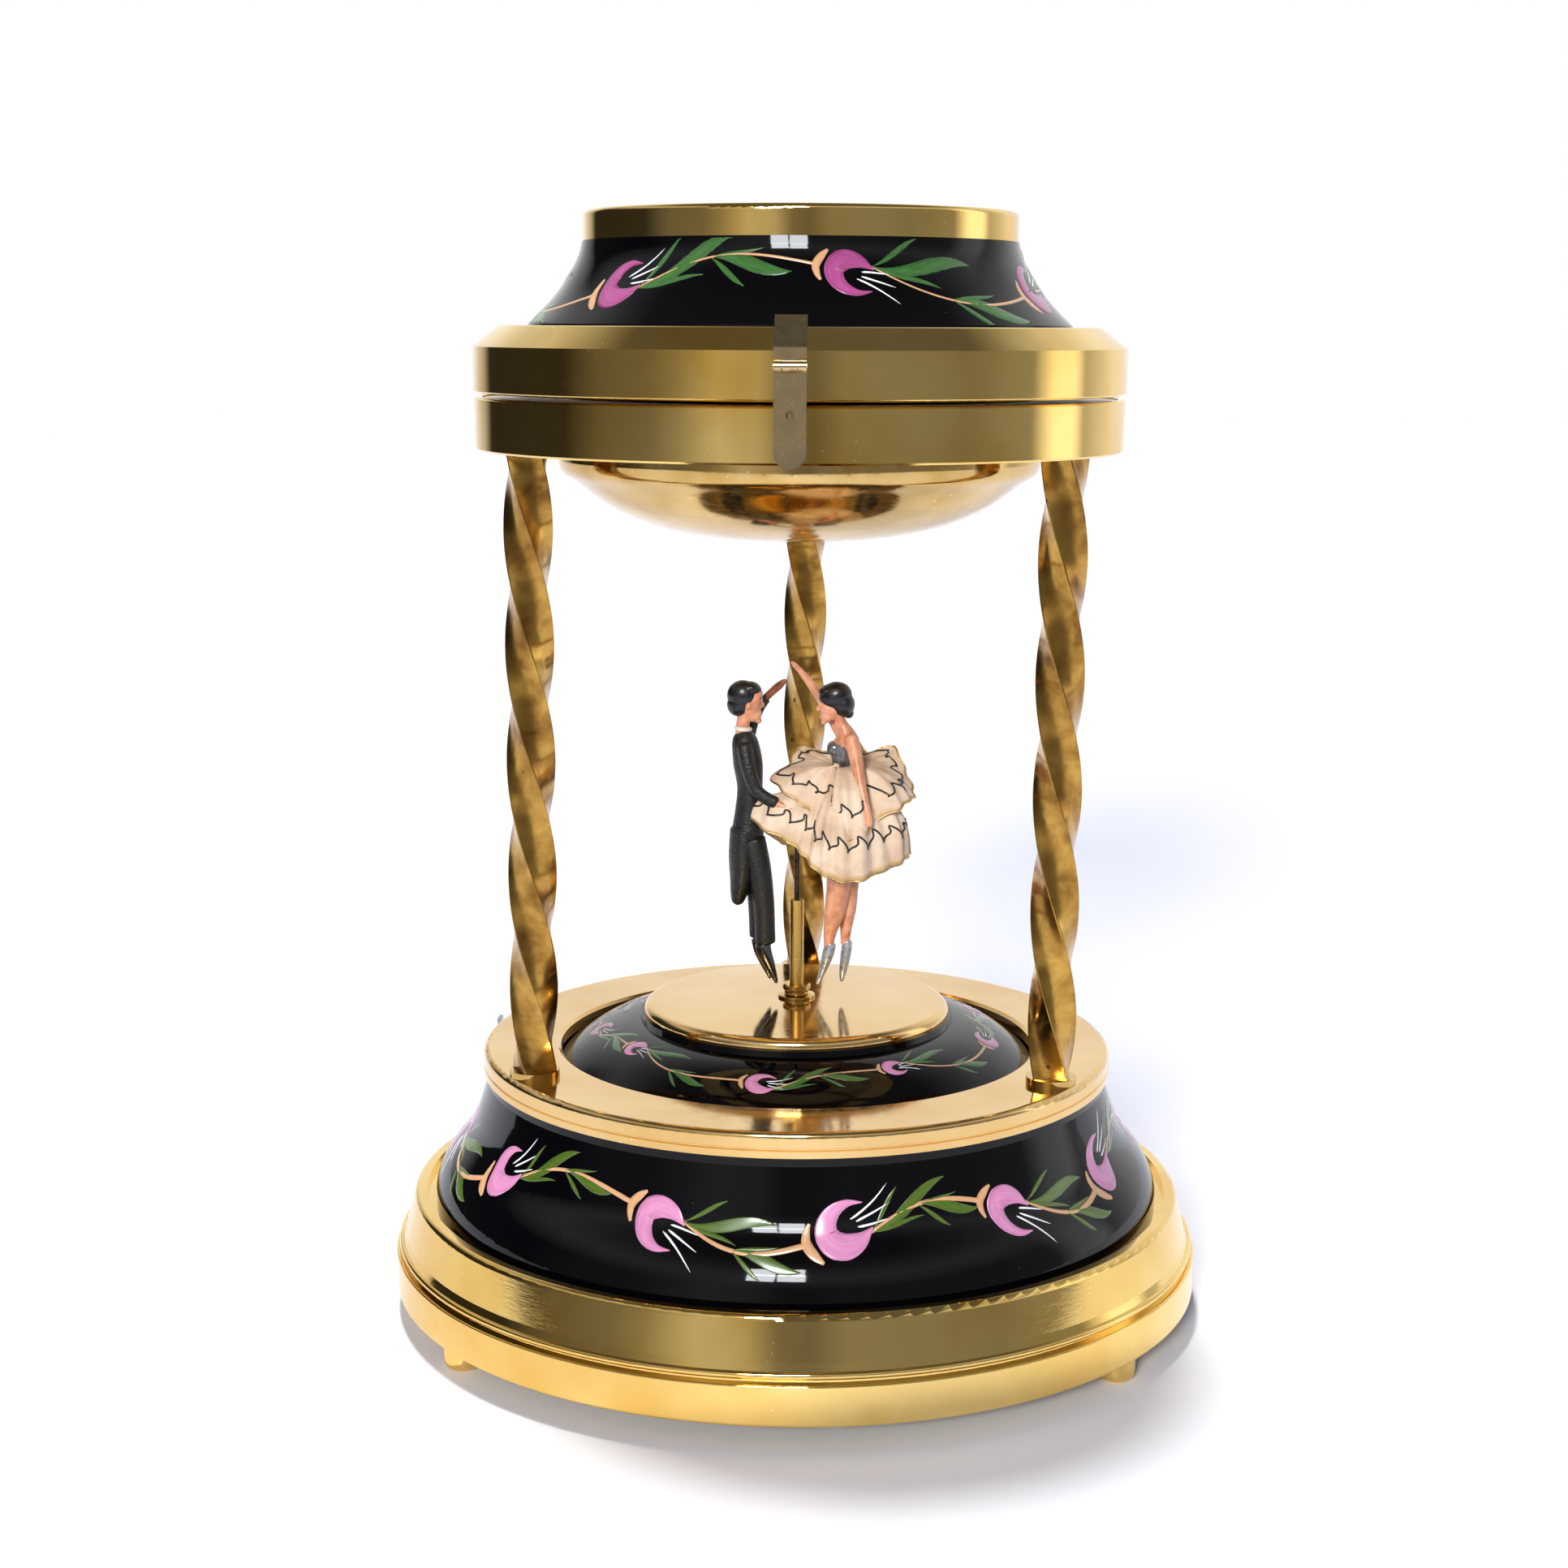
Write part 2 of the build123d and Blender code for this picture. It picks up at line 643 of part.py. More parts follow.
# Movement: going train
to_spindle = 180 / pi * atan2(-barrel_y, -barrel_x)
with BuildPart() as great_wheel:
    with BuildSketch(Plane((barrel_x, barrel_y, lift(wheel_bottom)))):
        with BuildLine():
            Polyline(*gear_outline(great_teeth, drive_module, to_spindle), close=True)
        make_face()
    extrude(amount=wheel_top - wheel_bottom)
    with BuildSketch(Plane((barrel_x, barrel_y, lift(wheel_top)))):
        Circle(crown_radius + 0.7)
        Circle(crown_radius - 0.7, mode=Mode.SUBTRACT)
    extrude(amount=2.15 * drive_module)
    for tooth in range(crown_teeth):
        gap_plane = Plane(
            (barrel_x, barrel_y, lift(wheel_top)),
            x_dir=(*around(1, (tooth + 0.5) * 360 / crown_teeth + 90), 0),
            z_dir=(*around(1, (tooth + 0.5) * 360 / crown_teeth), 0),
        )
        with BuildSketch(gap_plane.offset(crown_radius - 1.2)):
            with BuildLine():
                Polyline((-0.36, 0.0), (0.36, 0.0), (0.85, 1.4), (-0.85, 1.4), close=True)
            make_face()
        extrude(amount=2.4, mode=Mode.SUBTRACT)
    with Locations((barrel_x, barrel_y, lift(wheel_top))):
        Cylinder(1.2, bridge_top - wheel_top, align=(Align.CENTER, Align.CENTER, Align.MIN))
keep(great_wheel, "great_wheel")

with BuildPart() as barrel_drum:
    with Locations((barrel_x, barrel_y, lift(barrel_bottom))):
        Cylinder(
            barrel_radius, wheel_bottom - barrel_bottom, align=(Align.CENTER, Align.CENTER, Align.MIN)
        )
    with Locations((barrel_x, barrel_y, lift(barrel_bottom + 0.8))):
        Cylinder(
            barrel_radius - 0.8, 9, align=(Align.CENTER, Align.CENTER, Align.MIN), mode=Mode.SUBTRACT
        )
    with Locations((barrel_x, barrel_y, lift(wheel_bottom))):
        Hole(arbor_radius + running_gap)
keep(barrel_drum, "barrel_drum")

spring_turns, spring_steps, spring_thick = 5, 20, 0.4
with BuildPart() as mainspring:
    with BuildSketch(Plane((barrel_x, barrel_y, lift(barrel_bottom + 1.1)))):
        with BuildLine():
            for edge in (0, spring_thick):
                Spline(
                    *[
                        around(2.4 + edge + 5.3 * step / (spring_turns * spring_steps),
                               360 * step / spring_steps)
                        for step in range(spring_turns * spring_steps + 1)
                    ]
                )
            Line((2.4, 0), (2.4 + spring_thick, 0))
            Line((7.7, 0), (7.7 + spring_thick, 0))
        make_face()
    extrude(amount=4.5)
keep(mainspring, "mainspring")

with BuildPart() as winding_arbor:
    with Locations((barrel_x, barrel_y, lift(2.2))):
        Cylinder(arbor_radius, 19.8 - 2.2, align=(Align.CENTER, Align.CENTER, Align.MIN))
keep(winding_arbor, "winding_arbor")

with BuildPart() as winding_key:
    with Locations((barrel_x, barrel_y, lift(1.0))):
        Cylinder(2.7, 8.6, align=(Align.CENTER, Align.CENTER, Align.MIN))
    with BuildSketch(Plane((barrel_x, barrel_y + 0.8, 0), x_dir=(1, 0, 0), z_dir=(0, -1, 0))):
        with Locations((-6.8, lift(4.6)), (6.8, lift(4.6))):
            Circle(4.0)
        make_hull()
    extrude(amount=1.6)
    with Locations((barrel_x, barrel_y, lift(2.2))):
        Cylinder(
            arbor_radius + 0.02, 9, align=(Align.CENTER, Align.CENTER, Align.MIN), mode=Mode.SUBTRACT
        )
keep(winding_key, "winding_key")

with BuildPart() as pinned_cylinder:
    with BuildSketch(facing_x(drum_start)):
        with Locations((barrel_y, lift(cylinder_h))):
            Circle(drum_radius)
    extrude(amount=drum_end - drum_start)
    for tooth in range(comb_teeth):
        for note in range(4):
            angle = (tooth * 97 + note * 83 + tooth * note * 31) % 360
            y, h = around(drum_radius - 0.4, angle)
            with Locations(
                Plane(
                    (6.0 + tooth, barrel_y + y, lift(cylinder_h) + h), z_dir=(0, *around(1, angle))
                )
            ):
                Cylinder(0.22, pin_length + 0.4, align=(Align.CENTER, Align.CENTER, Align.MIN))
    with BuildSketch(facing_x(crown_side - 0.7)):
        with Locations((barrel_y, lift(cylinder_h))):
            Circle(1.0)
    extrude(amount=27.8 - crown_side + 0.7)
keep(pinned_cylinder, "pinned_cylinder")

# Spur gears on level arbors: (x start, width, centre y, centre h, teeth, module, tooth angle, bore)
level_gears = {
    "cylinder_pinion": (
        crown_side - 0.7, 1.4, barrel_y, cylinder_h, cylinder_teeth, drive_module,
        -90 + 180 / cylinder_teeth, 1.0,
    ),
    "fly_wheel": (
        drum_end + 0.2, 1.0, barrel_y, cylinder_h, fly_wheel_teeth, fly_module, -fly_angle, 1.0,
    ),
    "fly_pinion": (
        drum_end + 0.2, 1.0, fly_y, fly_h, fly_teeth, fly_module,
        180 - fly_angle + 180 / fly_teeth, 0.6,
    ),
}
for name, (x, width, y, h, teeth, module, tooth_angle, bore) in level_gears.items():
    gear_plane = Plane((x, y, lift(h)), x_dir=(0, 1, 0), z_dir=(1, 0, 0))
    with BuildPart() as gear:
        with BuildSketch(gear_plane):
            with BuildLine():
                Polyline(*gear_outline(teeth, module, tooth_angle), close=True)
            make_face()
            Circle(bore, mode=Mode.SUBTRACT)
        extrude(amount=width)
    keep(gear, name)

fan_start, fan_end, fan_radius = 28.2, 35.0, 5.0
with BuildPart() as fly_fan:
    with BuildSketch(facing_x(drum_end + 0.2)):
        with Locations((fly_y, lift(fly_h))):
            Circle(0.6)
    extrude(amount=37.8 - drum_end)
    with BuildSketch(facing_x(fan_start)):
        with Locations((fly_y, lift(fly_h))):
            Circle(1.3)
            Rectangle(2 * fan_radius - 0.1, 0.6)
    extrude(amount=fan_end - fan_start)
keep(fly_fan, "fly_fan")

# Movement: spindle and stop lever
with BuildPart() as spindle:
    with Locations((0, 0, lift(plate_top))):
        Cylinder(spindle_radius, 59.8 - plate_top, align=(Align.CENTER, Align.CENTER, Align.MIN))
keep(spindle, "spindle")

with BuildPart() as spindle_pinion:
    with BuildSketch(level(wheel_bottom - 0.4)):
        with BuildLine():
            Polyline(
                *gear_outline(spindle_teeth, drive_module, to_spindle + 180 + 180 / spindle_teeth),
                close=True,
            )
        make_face()
        Circle(spindle_radius, mode=Mode.SUBTRACT)
    extrude(amount=2.0)
keep(spindle_pinion, "spindle_pinion")

with BuildPart() as turning_collar:
    turned((spindle_radius, 45.4), (2.05, 45.4), (2.2, 45.6), (2.2, 46.1), (2.0, 46.35),
           (spindle_radius, 46.35))
keep(turning_collar, "turning_collar")

with BuildPart() as dancer_rod:
    limb((0, 0, lift(59.8)), (0, 0, lift(73.6)), 0.43, 0.42)
    limb((0, 0, lift(73.6)), (4.4, 0, lift(75.4)), 0.42, 0.4)
keep(dancer_rod, "dancer_rod")

with BuildPart() as lever_post:
    with Locations((lever_x, lever_y, lift(bed_top))):
        Cylinder(2.0, lever_h - 0.15 - bed_top, align=(Align.CENTER, Align.CENTER, Align.MIN))
        Cylinder(1.2, lever_h + 1.1 - bed_top, align=(Align.CENTER, Align.CENTER, Align.MIN))
keep(lever_post, "lever_post")

with BuildPart() as stop_lever:
    with BuildSketch(level(lever_h)):
        with Locations((lever_x, lever_y)):
            Circle(2.6)
        with Locations((tab_x + 0.9, lever_y)):
            Circle(1.2)
        make_hull()
    extrude(amount=lever_thick)
    with BuildSketch(level(lever_h)):
        with Locations((lever_x, lever_y)):
            Circle(2.6)
        with Locations((finger_x, finger_y)):
            Circle(1.0)
        make_hull()
    extrude(amount=lever_thick)
    with Locations((tab_x, lever_y, lift(lever_h))):
        Box(tab_thick, tab_width, tab_tall, align=(Align.CENTER, Align.CENTER, Align.MIN))
    with Locations((finger_x, finger_y, lift(fly_h + 0.4))):
        Cylinder(0.5, lever_h - fly_h, align=(Align.CENTER, Align.CENTER, Align.MIN))
    with Locations((lever_x, lever_y, lift(lever_h))):
        Cylinder(
            1.2 + running_gap, 4, align=(Align.CENTER, Align.CENTER, Align.CENTER), mode=Mode.SUBTRACT
        )
keep(stop_lever, "stop_lever")

# Dancers
# Each chain of points is a limb: (start, end, start radius, end radius), as x, y, h
gentleman_limbs = [
    ((-8.0, -1.0, 70.0), (-5.9, -1.0, 52.6), 2.0, 1.25),
    ((-8.2, 1.2, 70.0), (-6.3, 1.2, 52.6), 2.0, 1.25),
    ((-5.9, -1.0, 52.6), (-3.5, -0.6, 46.7), 1.25, 0.35),
    ((-6.3, 1.2, 52.6), (-4.6, 1.4, 46.9), 1.25, 0.4),
    ((-8.3, 0.0, 69.0), (-8.2, 0.0, 83.4), 2.7, 2.3),
    ((-8.9, 0.0, 69.0), (-9.3, 0.0, 59.2), 2.0, 1.0),
    ((-8.4, 0.0, 84.0), (-8.3, 0.0, 88.0), 1.1, 1.0),
    ((-8.3, -2.0, 83.4), (-6.3, -3.2, 77.6), 1.3, 1.0),
    ((-6.3, -3.2, 77.6), (-1.8, -3.8, 74.9), 1.0, 0.7),
    ((-8.0, 1.8, 84.0), (-6.2, 2.4, 88.8), 1.1, 0.9),
    ((-6.2, 2.4, 88.8), (-2.3, 1.6, 93.6), 0.9, 0.4),
]
lady_limbs = [
    ((7.4, -0.9, 74.0), (6.9, -0.9, 60.0), 1.9, 1.2),
    ((6.9, -0.9, 60.0), (4.9, -0.9, 51.8), 1.2, 0.65),
    ((4.9, -0.9, 51.8), (3.4, -0.9, 46.3), 0.65, 0.3),
    ((7.2, 1.1, 74.0), (8.2, 1.1, 60.0), 1.9, 1.1),
    ((8.2, 1.1, 60.0), (7.7, 0.9, 52.0), 1.1, 0.6),
    ((7.7, 0.9, 52.0), (7.1, 0.9, 46.5), 0.6, 0.3),
    ((7.1, 0.0, 74.0), (6.6, 0.0, 79.6), 2.3, 1.5),
    ((6.6, 0.0, 79.6), (6.7, 0.0, 84.4), 1.5, 2.0),
    ((6.9, 0.0, 85.0), (5.7, 0.0, 88.6), 1.1, 0.9),
    ((8.0, -1.6, 85.2), (9.2, -3.4, 79.0), 0.8, 0.7),
    ((9.2, -3.4, 79.0), (11.0, -5.4, 73.2), 0.7, 0.5),
    ((6.3, 1.6, 85.4), (3.7, 2.2, 90.4), 0.8, 0.6),
    ((3.7, 2.2, 90.4), (-0.6, 1.2, 96.1), 0.6, 0.35),
]
dancers = {
    "gentleman": (gentleman_limbs, (-8.2, 0.0, 91.1), 3.0),
    "lady": (lady_limbs, (5.5, 0.0, 91.5), 2.9),
}
figures = {}
for name, (limbs, head, head_radius) in dancers.items():
    with BuildPart() as figure:
        with Locations((head[0], head[1], lift(head[2]))):
            Sphere(head_radius)
        for start, end, r_start, r_end in limbs:
            limb((*start[:2], lift(start[2])), (*end[:2], lift(end[2])), r_start, r_end)
    keep(figure, name)
    figures[name] = figure.part

# Skirt tiers: top and hem as (centre x, radius in x, radius in y, h), and the wall's thickness
tiers = {
    "skirt_upper": ((6.6, 2.6, 2.6, 80.6), (7.0, 10.8, 8.6, 72.6), 0.9),
    "skirt_lower": ((6.8, 3.6, 3.6, 76.6), (6.2, 11.6, 10.4, 64.0), 0.9),
}
for name, (top, hem, thick) in tiers.items():
    with BuildPart() as tier:
        for shrink, mode in ((0.0, Mode.ADD), (thick, Mode.SUBTRACT)):
            for x, rx, ry, h in (top, hem):
                with BuildSketch(Plane((x, 0, lift(h)))):
                    Ellipse(rx - shrink, ry - shrink)
            loft(mode=mode)
        add(figures["lady"], mode=Mode.SUBTRACT)
        add(figures["gentleman"], mode=Mode.SUBTRACT)
        add(dancer_rod.part, mode=Mode.SUBTRACT)
    keep(tier, name)
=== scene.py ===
import bpy
import bmesh
from math import sin, cos, pi, radians
from mathutils import Vector, Matrix
from mathutils.bvhtree import BVHTree


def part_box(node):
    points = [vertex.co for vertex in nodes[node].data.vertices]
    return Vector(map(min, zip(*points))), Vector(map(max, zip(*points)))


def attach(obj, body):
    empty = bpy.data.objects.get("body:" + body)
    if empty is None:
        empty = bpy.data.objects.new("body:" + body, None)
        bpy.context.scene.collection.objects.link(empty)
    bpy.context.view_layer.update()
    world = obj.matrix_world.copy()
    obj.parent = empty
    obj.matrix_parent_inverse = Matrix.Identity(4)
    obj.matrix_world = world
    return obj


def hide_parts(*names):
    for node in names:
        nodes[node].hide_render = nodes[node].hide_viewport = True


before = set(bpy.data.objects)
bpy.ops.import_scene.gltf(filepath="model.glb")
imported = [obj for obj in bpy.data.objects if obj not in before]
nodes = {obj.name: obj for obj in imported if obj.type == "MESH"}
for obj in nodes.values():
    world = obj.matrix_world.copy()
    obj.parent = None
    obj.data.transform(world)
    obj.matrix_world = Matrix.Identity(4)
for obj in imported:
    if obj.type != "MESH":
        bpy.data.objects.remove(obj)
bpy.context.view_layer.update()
mm = 0.001
paintFilm = 0.05      # thickness of a brush stroke in mm


# where things are, read from the frame
def boxOf(node):
    low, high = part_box(node)
    return Vector(low), Vector(high)


baseEdge = boxOf("base_shell")[0].z / mm      # underside of the brass base
print("frame loaded, base edge at", round(baseEdge, 2), "mm")


def at(x, y, h):
    # a point given in mm, with its height measured from the underside of the brass base
    return Vector((x * mm, y * mm, (h + baseEdge) * mm))


def srgb(code):
    parts = [int(code[i:i + 2], 16) / 255 for i in (1, 3, 5)]
    return [p / 12.92 if p <= 0.04045 else ((p + 0.055) / 1.055) ** 2.4 for p in parts] + [1.0]


def addNode(tree, kind, settings=None, **links):
    # one node: settings are attributes, or input values when the key names an input
    node = tree.nodes.new(kind)
    for key, value in (settings or {}).items():
        if isinstance(key, str) and hasattr(node, key):
            setattr(node, key, value)
        else:
            node.inputs[key].default_value = value
    for key, source in links.items():
        socket = node.inputs[int(key[1:])] if key[1:].isdigit() else node.inputs[key.replace("_", " ")]
        tree.links.new(source, socket)
    return node


def addRamp(tree, source, stops, ease="LINEAR"):
    ramp = addNode(tree, "ShaderNodeValToRGB", Fac=source)
    ramp.color_ramp.interpolation = ease
    elements = ramp.color_ramp.elements
    while len(elements) < len(stops):
        elements.new(0.5)
    for element, (place, colour) in zip(elements, stops):
        element.position = place
        element.color = srgb(colour) if isinstance(colour, str) else [colour] * 3 + [1.0]
    return ramp.outputs["Color"]


def newMaterial(name, **principled):
    material = bpy.data.materials.new(name)
    material.use_nodes = True
    tree = material.node_tree
    shader = tree.nodes["Principled BSDF"]
    for key, value in principled.items():
        shader.inputs[key.replace("_", " ")].default_value = value
    coords = addNode(tree, "ShaderNodeTexCoord")
    return material, tree, shader, coords


def addBump(tree, shader, height, strength, distance):
    bump = addNode(tree, "ShaderNodeBump", {"Strength": strength, "Distance": distance}, Height=height)
    tree.links.new(bump.outputs["Normal"], shader.inputs["Normal"])
    return bump


def brassMaterial(name, look):
    # drawn brass under clear lacquer: a warm mirror with faint smears, hair scratches and small nicks
    material, tree, shader, coords = newMaterial(name, Metallic=1.0)
    place = coords.outputs["Object"]
    cloud = addNode(tree, "ShaderNodeTexNoise", {"Scale": 1000 / look["cloudMm"], "Detail": 3.0},
                    Vector=place)
    colour = addRamp(tree, cloud.outputs["Fac"], ((0.32, look["dark"]), (0.62, look["light"])))
    turned = addNode(tree, "ShaderNodeMapping", {"Scale": (1, 1, look["lines"])}, Vector=place)
    hair = addNode(tree, "ShaderNodeTexNoise", {"Scale": 1000 / look["hairMm"], "Detail": 4.0,
                                                "Roughness": 0.7},
                   Vector=turned.outputs["Vector"])
    nicks = addNode(tree, "ShaderNodeTexVoronoi", {"Scale": 1000 / look["nickMm"], "Randomness": 1.0},
                    Vector=place)
    worn = addNode(tree, "ShaderNodeTexNoise", {"Scale": 1000 / 9, "Detail": 2.0}, Vector=place)
    wornZone = addRamp(tree, worn.outputs["Fac"], ((look["wear"], 0.0), (look["wear"] + 0.06, 1.0)))
    nickDot = addRamp(tree, nicks.outputs["Distance"], ((0.05, 1.0), (0.13, 0.0)))
    nickMask = addNode(tree, "ShaderNodeMath", {"operation": "MULTIPLY"}, _0=wornZone, _1=nickDot)
    tint = addNode(tree, "ShaderNodeMixRGB", {"Color2": srgb(look["nick"])}, Fac=nickMask.outputs["Value"],
                   Color1=colour)
    tree.links.new(tint.outputs["Color"], shader.inputs["Base Color"])
    smear = addNode(tree, "ShaderNodeMapRange",
                    {"From Min": 0.3, "From Max": 0.75, "To Min": look["rough"][0],
                     "To Max": look["rough"][1]},
                    Value=hair.outputs["Fac"])
    tree.links.new(smear.outputs["Result"], shader.inputs["Roughness"])
    dent = addNode(tree, "ShaderNodeMath", {"operation": "SUBTRACT"}, _0=hair.outputs["Fac"],
                   _1=nickMask.outputs["Value"])
    addBump(tree, shader, dent.outputs["Value"], look["bump"], 0.00004)
    return material


polishedLook = {"light": "#F6D483", "dark": "#E5B75A", "nick": "#FFF3D6", "cloudMm": 22, "hairMm": 2.2,
                "lines": 5, "nickMm": 1.5, "wear": 0.58, "rough": (0.035, 0.11), "bump": 0.12}
stageLook = dict(polishedLook, light="#EDC98A", dark="#E2B66E", rough=(0.06, 0.16), wear=0.66, bump=0.08)
clockLook = dict(polishedLook, light="#DDB869", dark="#C49C4C", rough=(0.25, 0.4), wear=0.8)
bowlLook = dict(polishedLook, light="#DCBA78", dark="#C0964A", rough=(0.07, 0.2), wear=0.55, cloudMm=11)
polishedBrass = brassMaterial("polishedBrass", polishedLook)
stageBrass = brassMaterial("stageBrass", stageLook)
clockBrass = brassMaterial("clockBrass", clockLook)
bowlBrass = brassMaterial("bowlBrass", bowlLook)


def agedBrassMaterial():
    # bare brass left to tarnish: gold where it is rubbed, brown in the hollows, with black pits
    look = {"gold": "#CBA050", "brown": "#A67C3A", "deep": "#7A5424", "pit": "#2A1B0C", "blotchMm": 4.5,
            "pitMm": 4.2}
    material, tree, shader, coords = newMaterial("agedBrass", Metallic=1.0)
    place = coords.outputs["Object"]
    blotch = addNode(tree, "ShaderNodeTexNoise", {"Scale": 1000 / look["blotchMm"], "Detail": 4.0,
                                                  "Roughness": 0.55,
                                                 "Distortion": 0.3}, Vector=place)
    colour = addRamp(tree, blotch.outputs["Fac"],
                     ((0.3, look["deep"]), (0.44, look["brown"]), (0.64, look["gold"])))
    speck = addNode(tree, "ShaderNodeTexVoronoi", {"Scale": 1000 / look["pitMm"]}, Vector=place)
    area = addNode(tree, "ShaderNodeTexNoise", {"Scale": 1000 / 5.5, "Detail": 1.0}, Vector=place)
    pitDot = addRamp(tree, speck.outputs["Distance"], ((0.06, 1.0), (0.13, 0.0)))
    pitZone = addRamp(tree, area.outputs["Fac"], ((0.5, 0.0), (0.58, 1.0)))
    pits = addNode(tree, "ShaderNodeMath", {"operation": "MULTIPLY"}, _0=pitDot, _1=pitZone)
    mixed = addNode(tree, "ShaderNodeMixRGB", {"Color2": srgb(look["pit"])}, Fac=pits.outputs["Value"],
                    Color1=colour)
    tree.links.new(mixed.outputs["Color"], shader.inputs["Base Color"])
    rough = addNode(tree, "ShaderNodeMapRange", {"From Min": 0.35, "From Max": 0.65, "To Min": 0.26,
                                                 "To Max": 0.13},
                    Value=blotch.outputs["Fac"])
    tree.links.new(rough.outputs["Result"], shader.inputs["Roughness"])
    relief = addNode(tree, "ShaderNodeMath", {"operation": "SUBTRACT"}, _0=blotch.outputs["Fac"],
                     _1=pits.outputs["Value"])
    addBump(tree, shader, relief.outputs["Value"], 0.12, 0.00008)
    return material


agedBrass = agedBrassMaterial()


def plainMetal(name, light, dark, roughLow, roughHigh, grainMm, bump):
    # machined or plated metal: fine grain and a slow change of tone
    material, tree, shader, coords = newMaterial(name, Metallic=1.0)
    grain = addNode(tree, "ShaderNodeTexNoise", {"Scale": 1000 / grainMm, "Detail": 5.0, "Roughness": 0.6},
                    Vector=coords.outputs["Object"])
    colour = addRamp(tree, grain.outputs["Fac"], ((0.3, dark), (0.68, light)))
    tree.links.new(colour, shader.inputs["Base Color"])
    rough = addNode(tree, "ShaderNodeMapRange", {"From Min": 0.3, "From Max": 0.7, "To Min": roughHigh,
                                                "To Max": roughLow}, Value=grain.outputs["Fac"])
    tree.links.new(rough.outputs["Result"], shader.inputs["Roughness"])
    addBump(tree, shader, grain.outputs["Fac"], bump, 0.00005)
    return material


wornNickel = plainMetal("wornNickel", "#DDC498", "#A68C60", 0.16, 0.32, 2.6, 0.12)
machinedSteel = plainMetal("machinedSteel", "#B9BABC", "#8E8F92", 0.22, 0.36, 1.2, 0.12)
gunBlackRod = plainMetal("gunBlackRod", "#5A4A33", "#2A2018", 0.25, 0.4, 1.5, 0.2)
silvering = plainMetal("silvering", "#E8EBEE", "#DDE1E5", 0.02, 0.04, 30, 0.0)


def enamelMaterial():
    # black stove enamel: a deep wet gloss with slight orange peel and a few dust specks
    look = {"black": "#040407", "dust": "#3B3A3C", "peelMm": 2.8, "dustMm": 3.5}
    material, tree, shader, coords = newMaterial("blackEnamel", Roughness=0.04, IOR=1.33)
    place = coords.outputs["Object"]
    dust = addNode(tree, "ShaderNodeTexVoronoi", {"Scale": 1000 / look["dustMm"]}, Vector=place)
    dot = addRamp(tree, dust.outputs["Distance"], ((0.022, look["dust"]), (0.04, look["black"])))
    tree.links.new(dot, shader.inputs["Base Color"])
    peel = addNode(tree, "ShaderNodeTexNoise", {"Scale": 1000 / look["peelMm"], "Detail": 1.0},
                   Vector=place)
    addBump(tree, shader, peel.outputs["Fac"], 0.05, 0.00006)
    return material


blackEnamel = enamelMaterial()


def brushedPaint(name, edge, middle, streak, gloss=0.25):
    # a loaded brush stroke: thicker and paler in the middle, with bristle streaks along it
    material, tree, shader, coords = newMaterial(name, Roughness=gloss, Coat_Weight=0.4,
                                                 Coat_Roughness=0.15)
    uv = addNode(tree, "ShaderNodeSeparateXYZ", Vector=coords.outputs["UV"])
    across = addNode(tree, "ShaderNodeMath", {"operation": "PINGPONG", 1: 0.5}, _0=uv.outputs["X"])
    tone = addRamp(tree, across.outputs["Value"], ((0.0, edge), (0.38, middle)))
    long = addNode(tree, "ShaderNodeMapping", {"Scale": (9, 1.3, 1)}, Vector=coords.outputs["UV"])
    bristle = addNode(tree, "ShaderNodeTexNoise", {"Scale": 2.2, "Detail": 3.0},
                      Vector=long.outputs["Vector"])
    mask = addRamp(tree, bristle.outputs["Fac"], ((0.45, 0.0), (0.7, 0.75)))
    mixed = addNode(tree, "ShaderNodeMixRGB", {"Color2": srgb(streak)}, Fac=mask, Color1=tone)
    tree.links.new(mixed.outputs["Color"], shader.inputs["Base Color"])
    addBump(tree, shader, bristle.outputs["Fac"], 0.25, 0.00003)
    return material


paints = {
    "stem": brushedPaint("stemPaint", "#B98450", "#DDA875", "#EBC096"),
    "petal": brushedPaint("petalPaint", "#BC6C9A", "#DF90BC", "#E8A8CC"),
    "petalDark": brushedPaint("petalPaintDark", "#8E3266", "#AA4A86", "#BA629A"),
    "leaf": brushedPaint("leafPaint", "#3A4F10", "#4A6714", "#627D2C"),
    "leafDark": brushedPaint("leafPaintDark", "#27501F", "#346628", "#4E803E"),
    "stamen": brushedPaint("stamenPaint", "#DADDE0", "#FFFFFF", "#F3F5F7"),
}
print("metal, enamel and paint finishes made")


def newPiece(name, verts, faces, materials, uvs=None, slots=None, smooth=True):
    mesh = bpy.data.meshes.new(name)
    mesh.from_pydata([tuple(v) for v in verts], [], faces)
    for material in materials:
        mesh.materials.append(material)
    if uvs:
        layer = mesh.uv_layers.new(name="UVMap")
        for loop in mesh.loops:
            layer.data[loop.index].uv = uvs[loop.vertex_index]
    for index, polygon in enumerate(mesh.polygons):
        polygon.use_smooth = smooth
        if slots:
            polygon.material_index = slots[index]
    mesh.validate()
    piece = bpy.data.objects.new(name, mesh)
    bpy.context.collection.objects.link(piece)
    return piece


def applied(piece):
    # the piece with its modifiers made real
    depsgraph = bpy.context.evaluated_depsgraph_get()
    mesh = bpy.data.meshes.new_from_object(piece.evaluated_get(depsgraph), depsgraph=depsgraph)
    piece.modifiers.clear()
    old = piece.data
    piece.data = mesh
    bpy.data.meshes.remove(old)
    mesh.name = piece.name
    return piece


def surfaceTree(node):
    mesh = nodes[node].data
    return BVHTree.FromPolygons([v.co for v in mesh.vertices], [p.vertices for p in mesh.polygons])


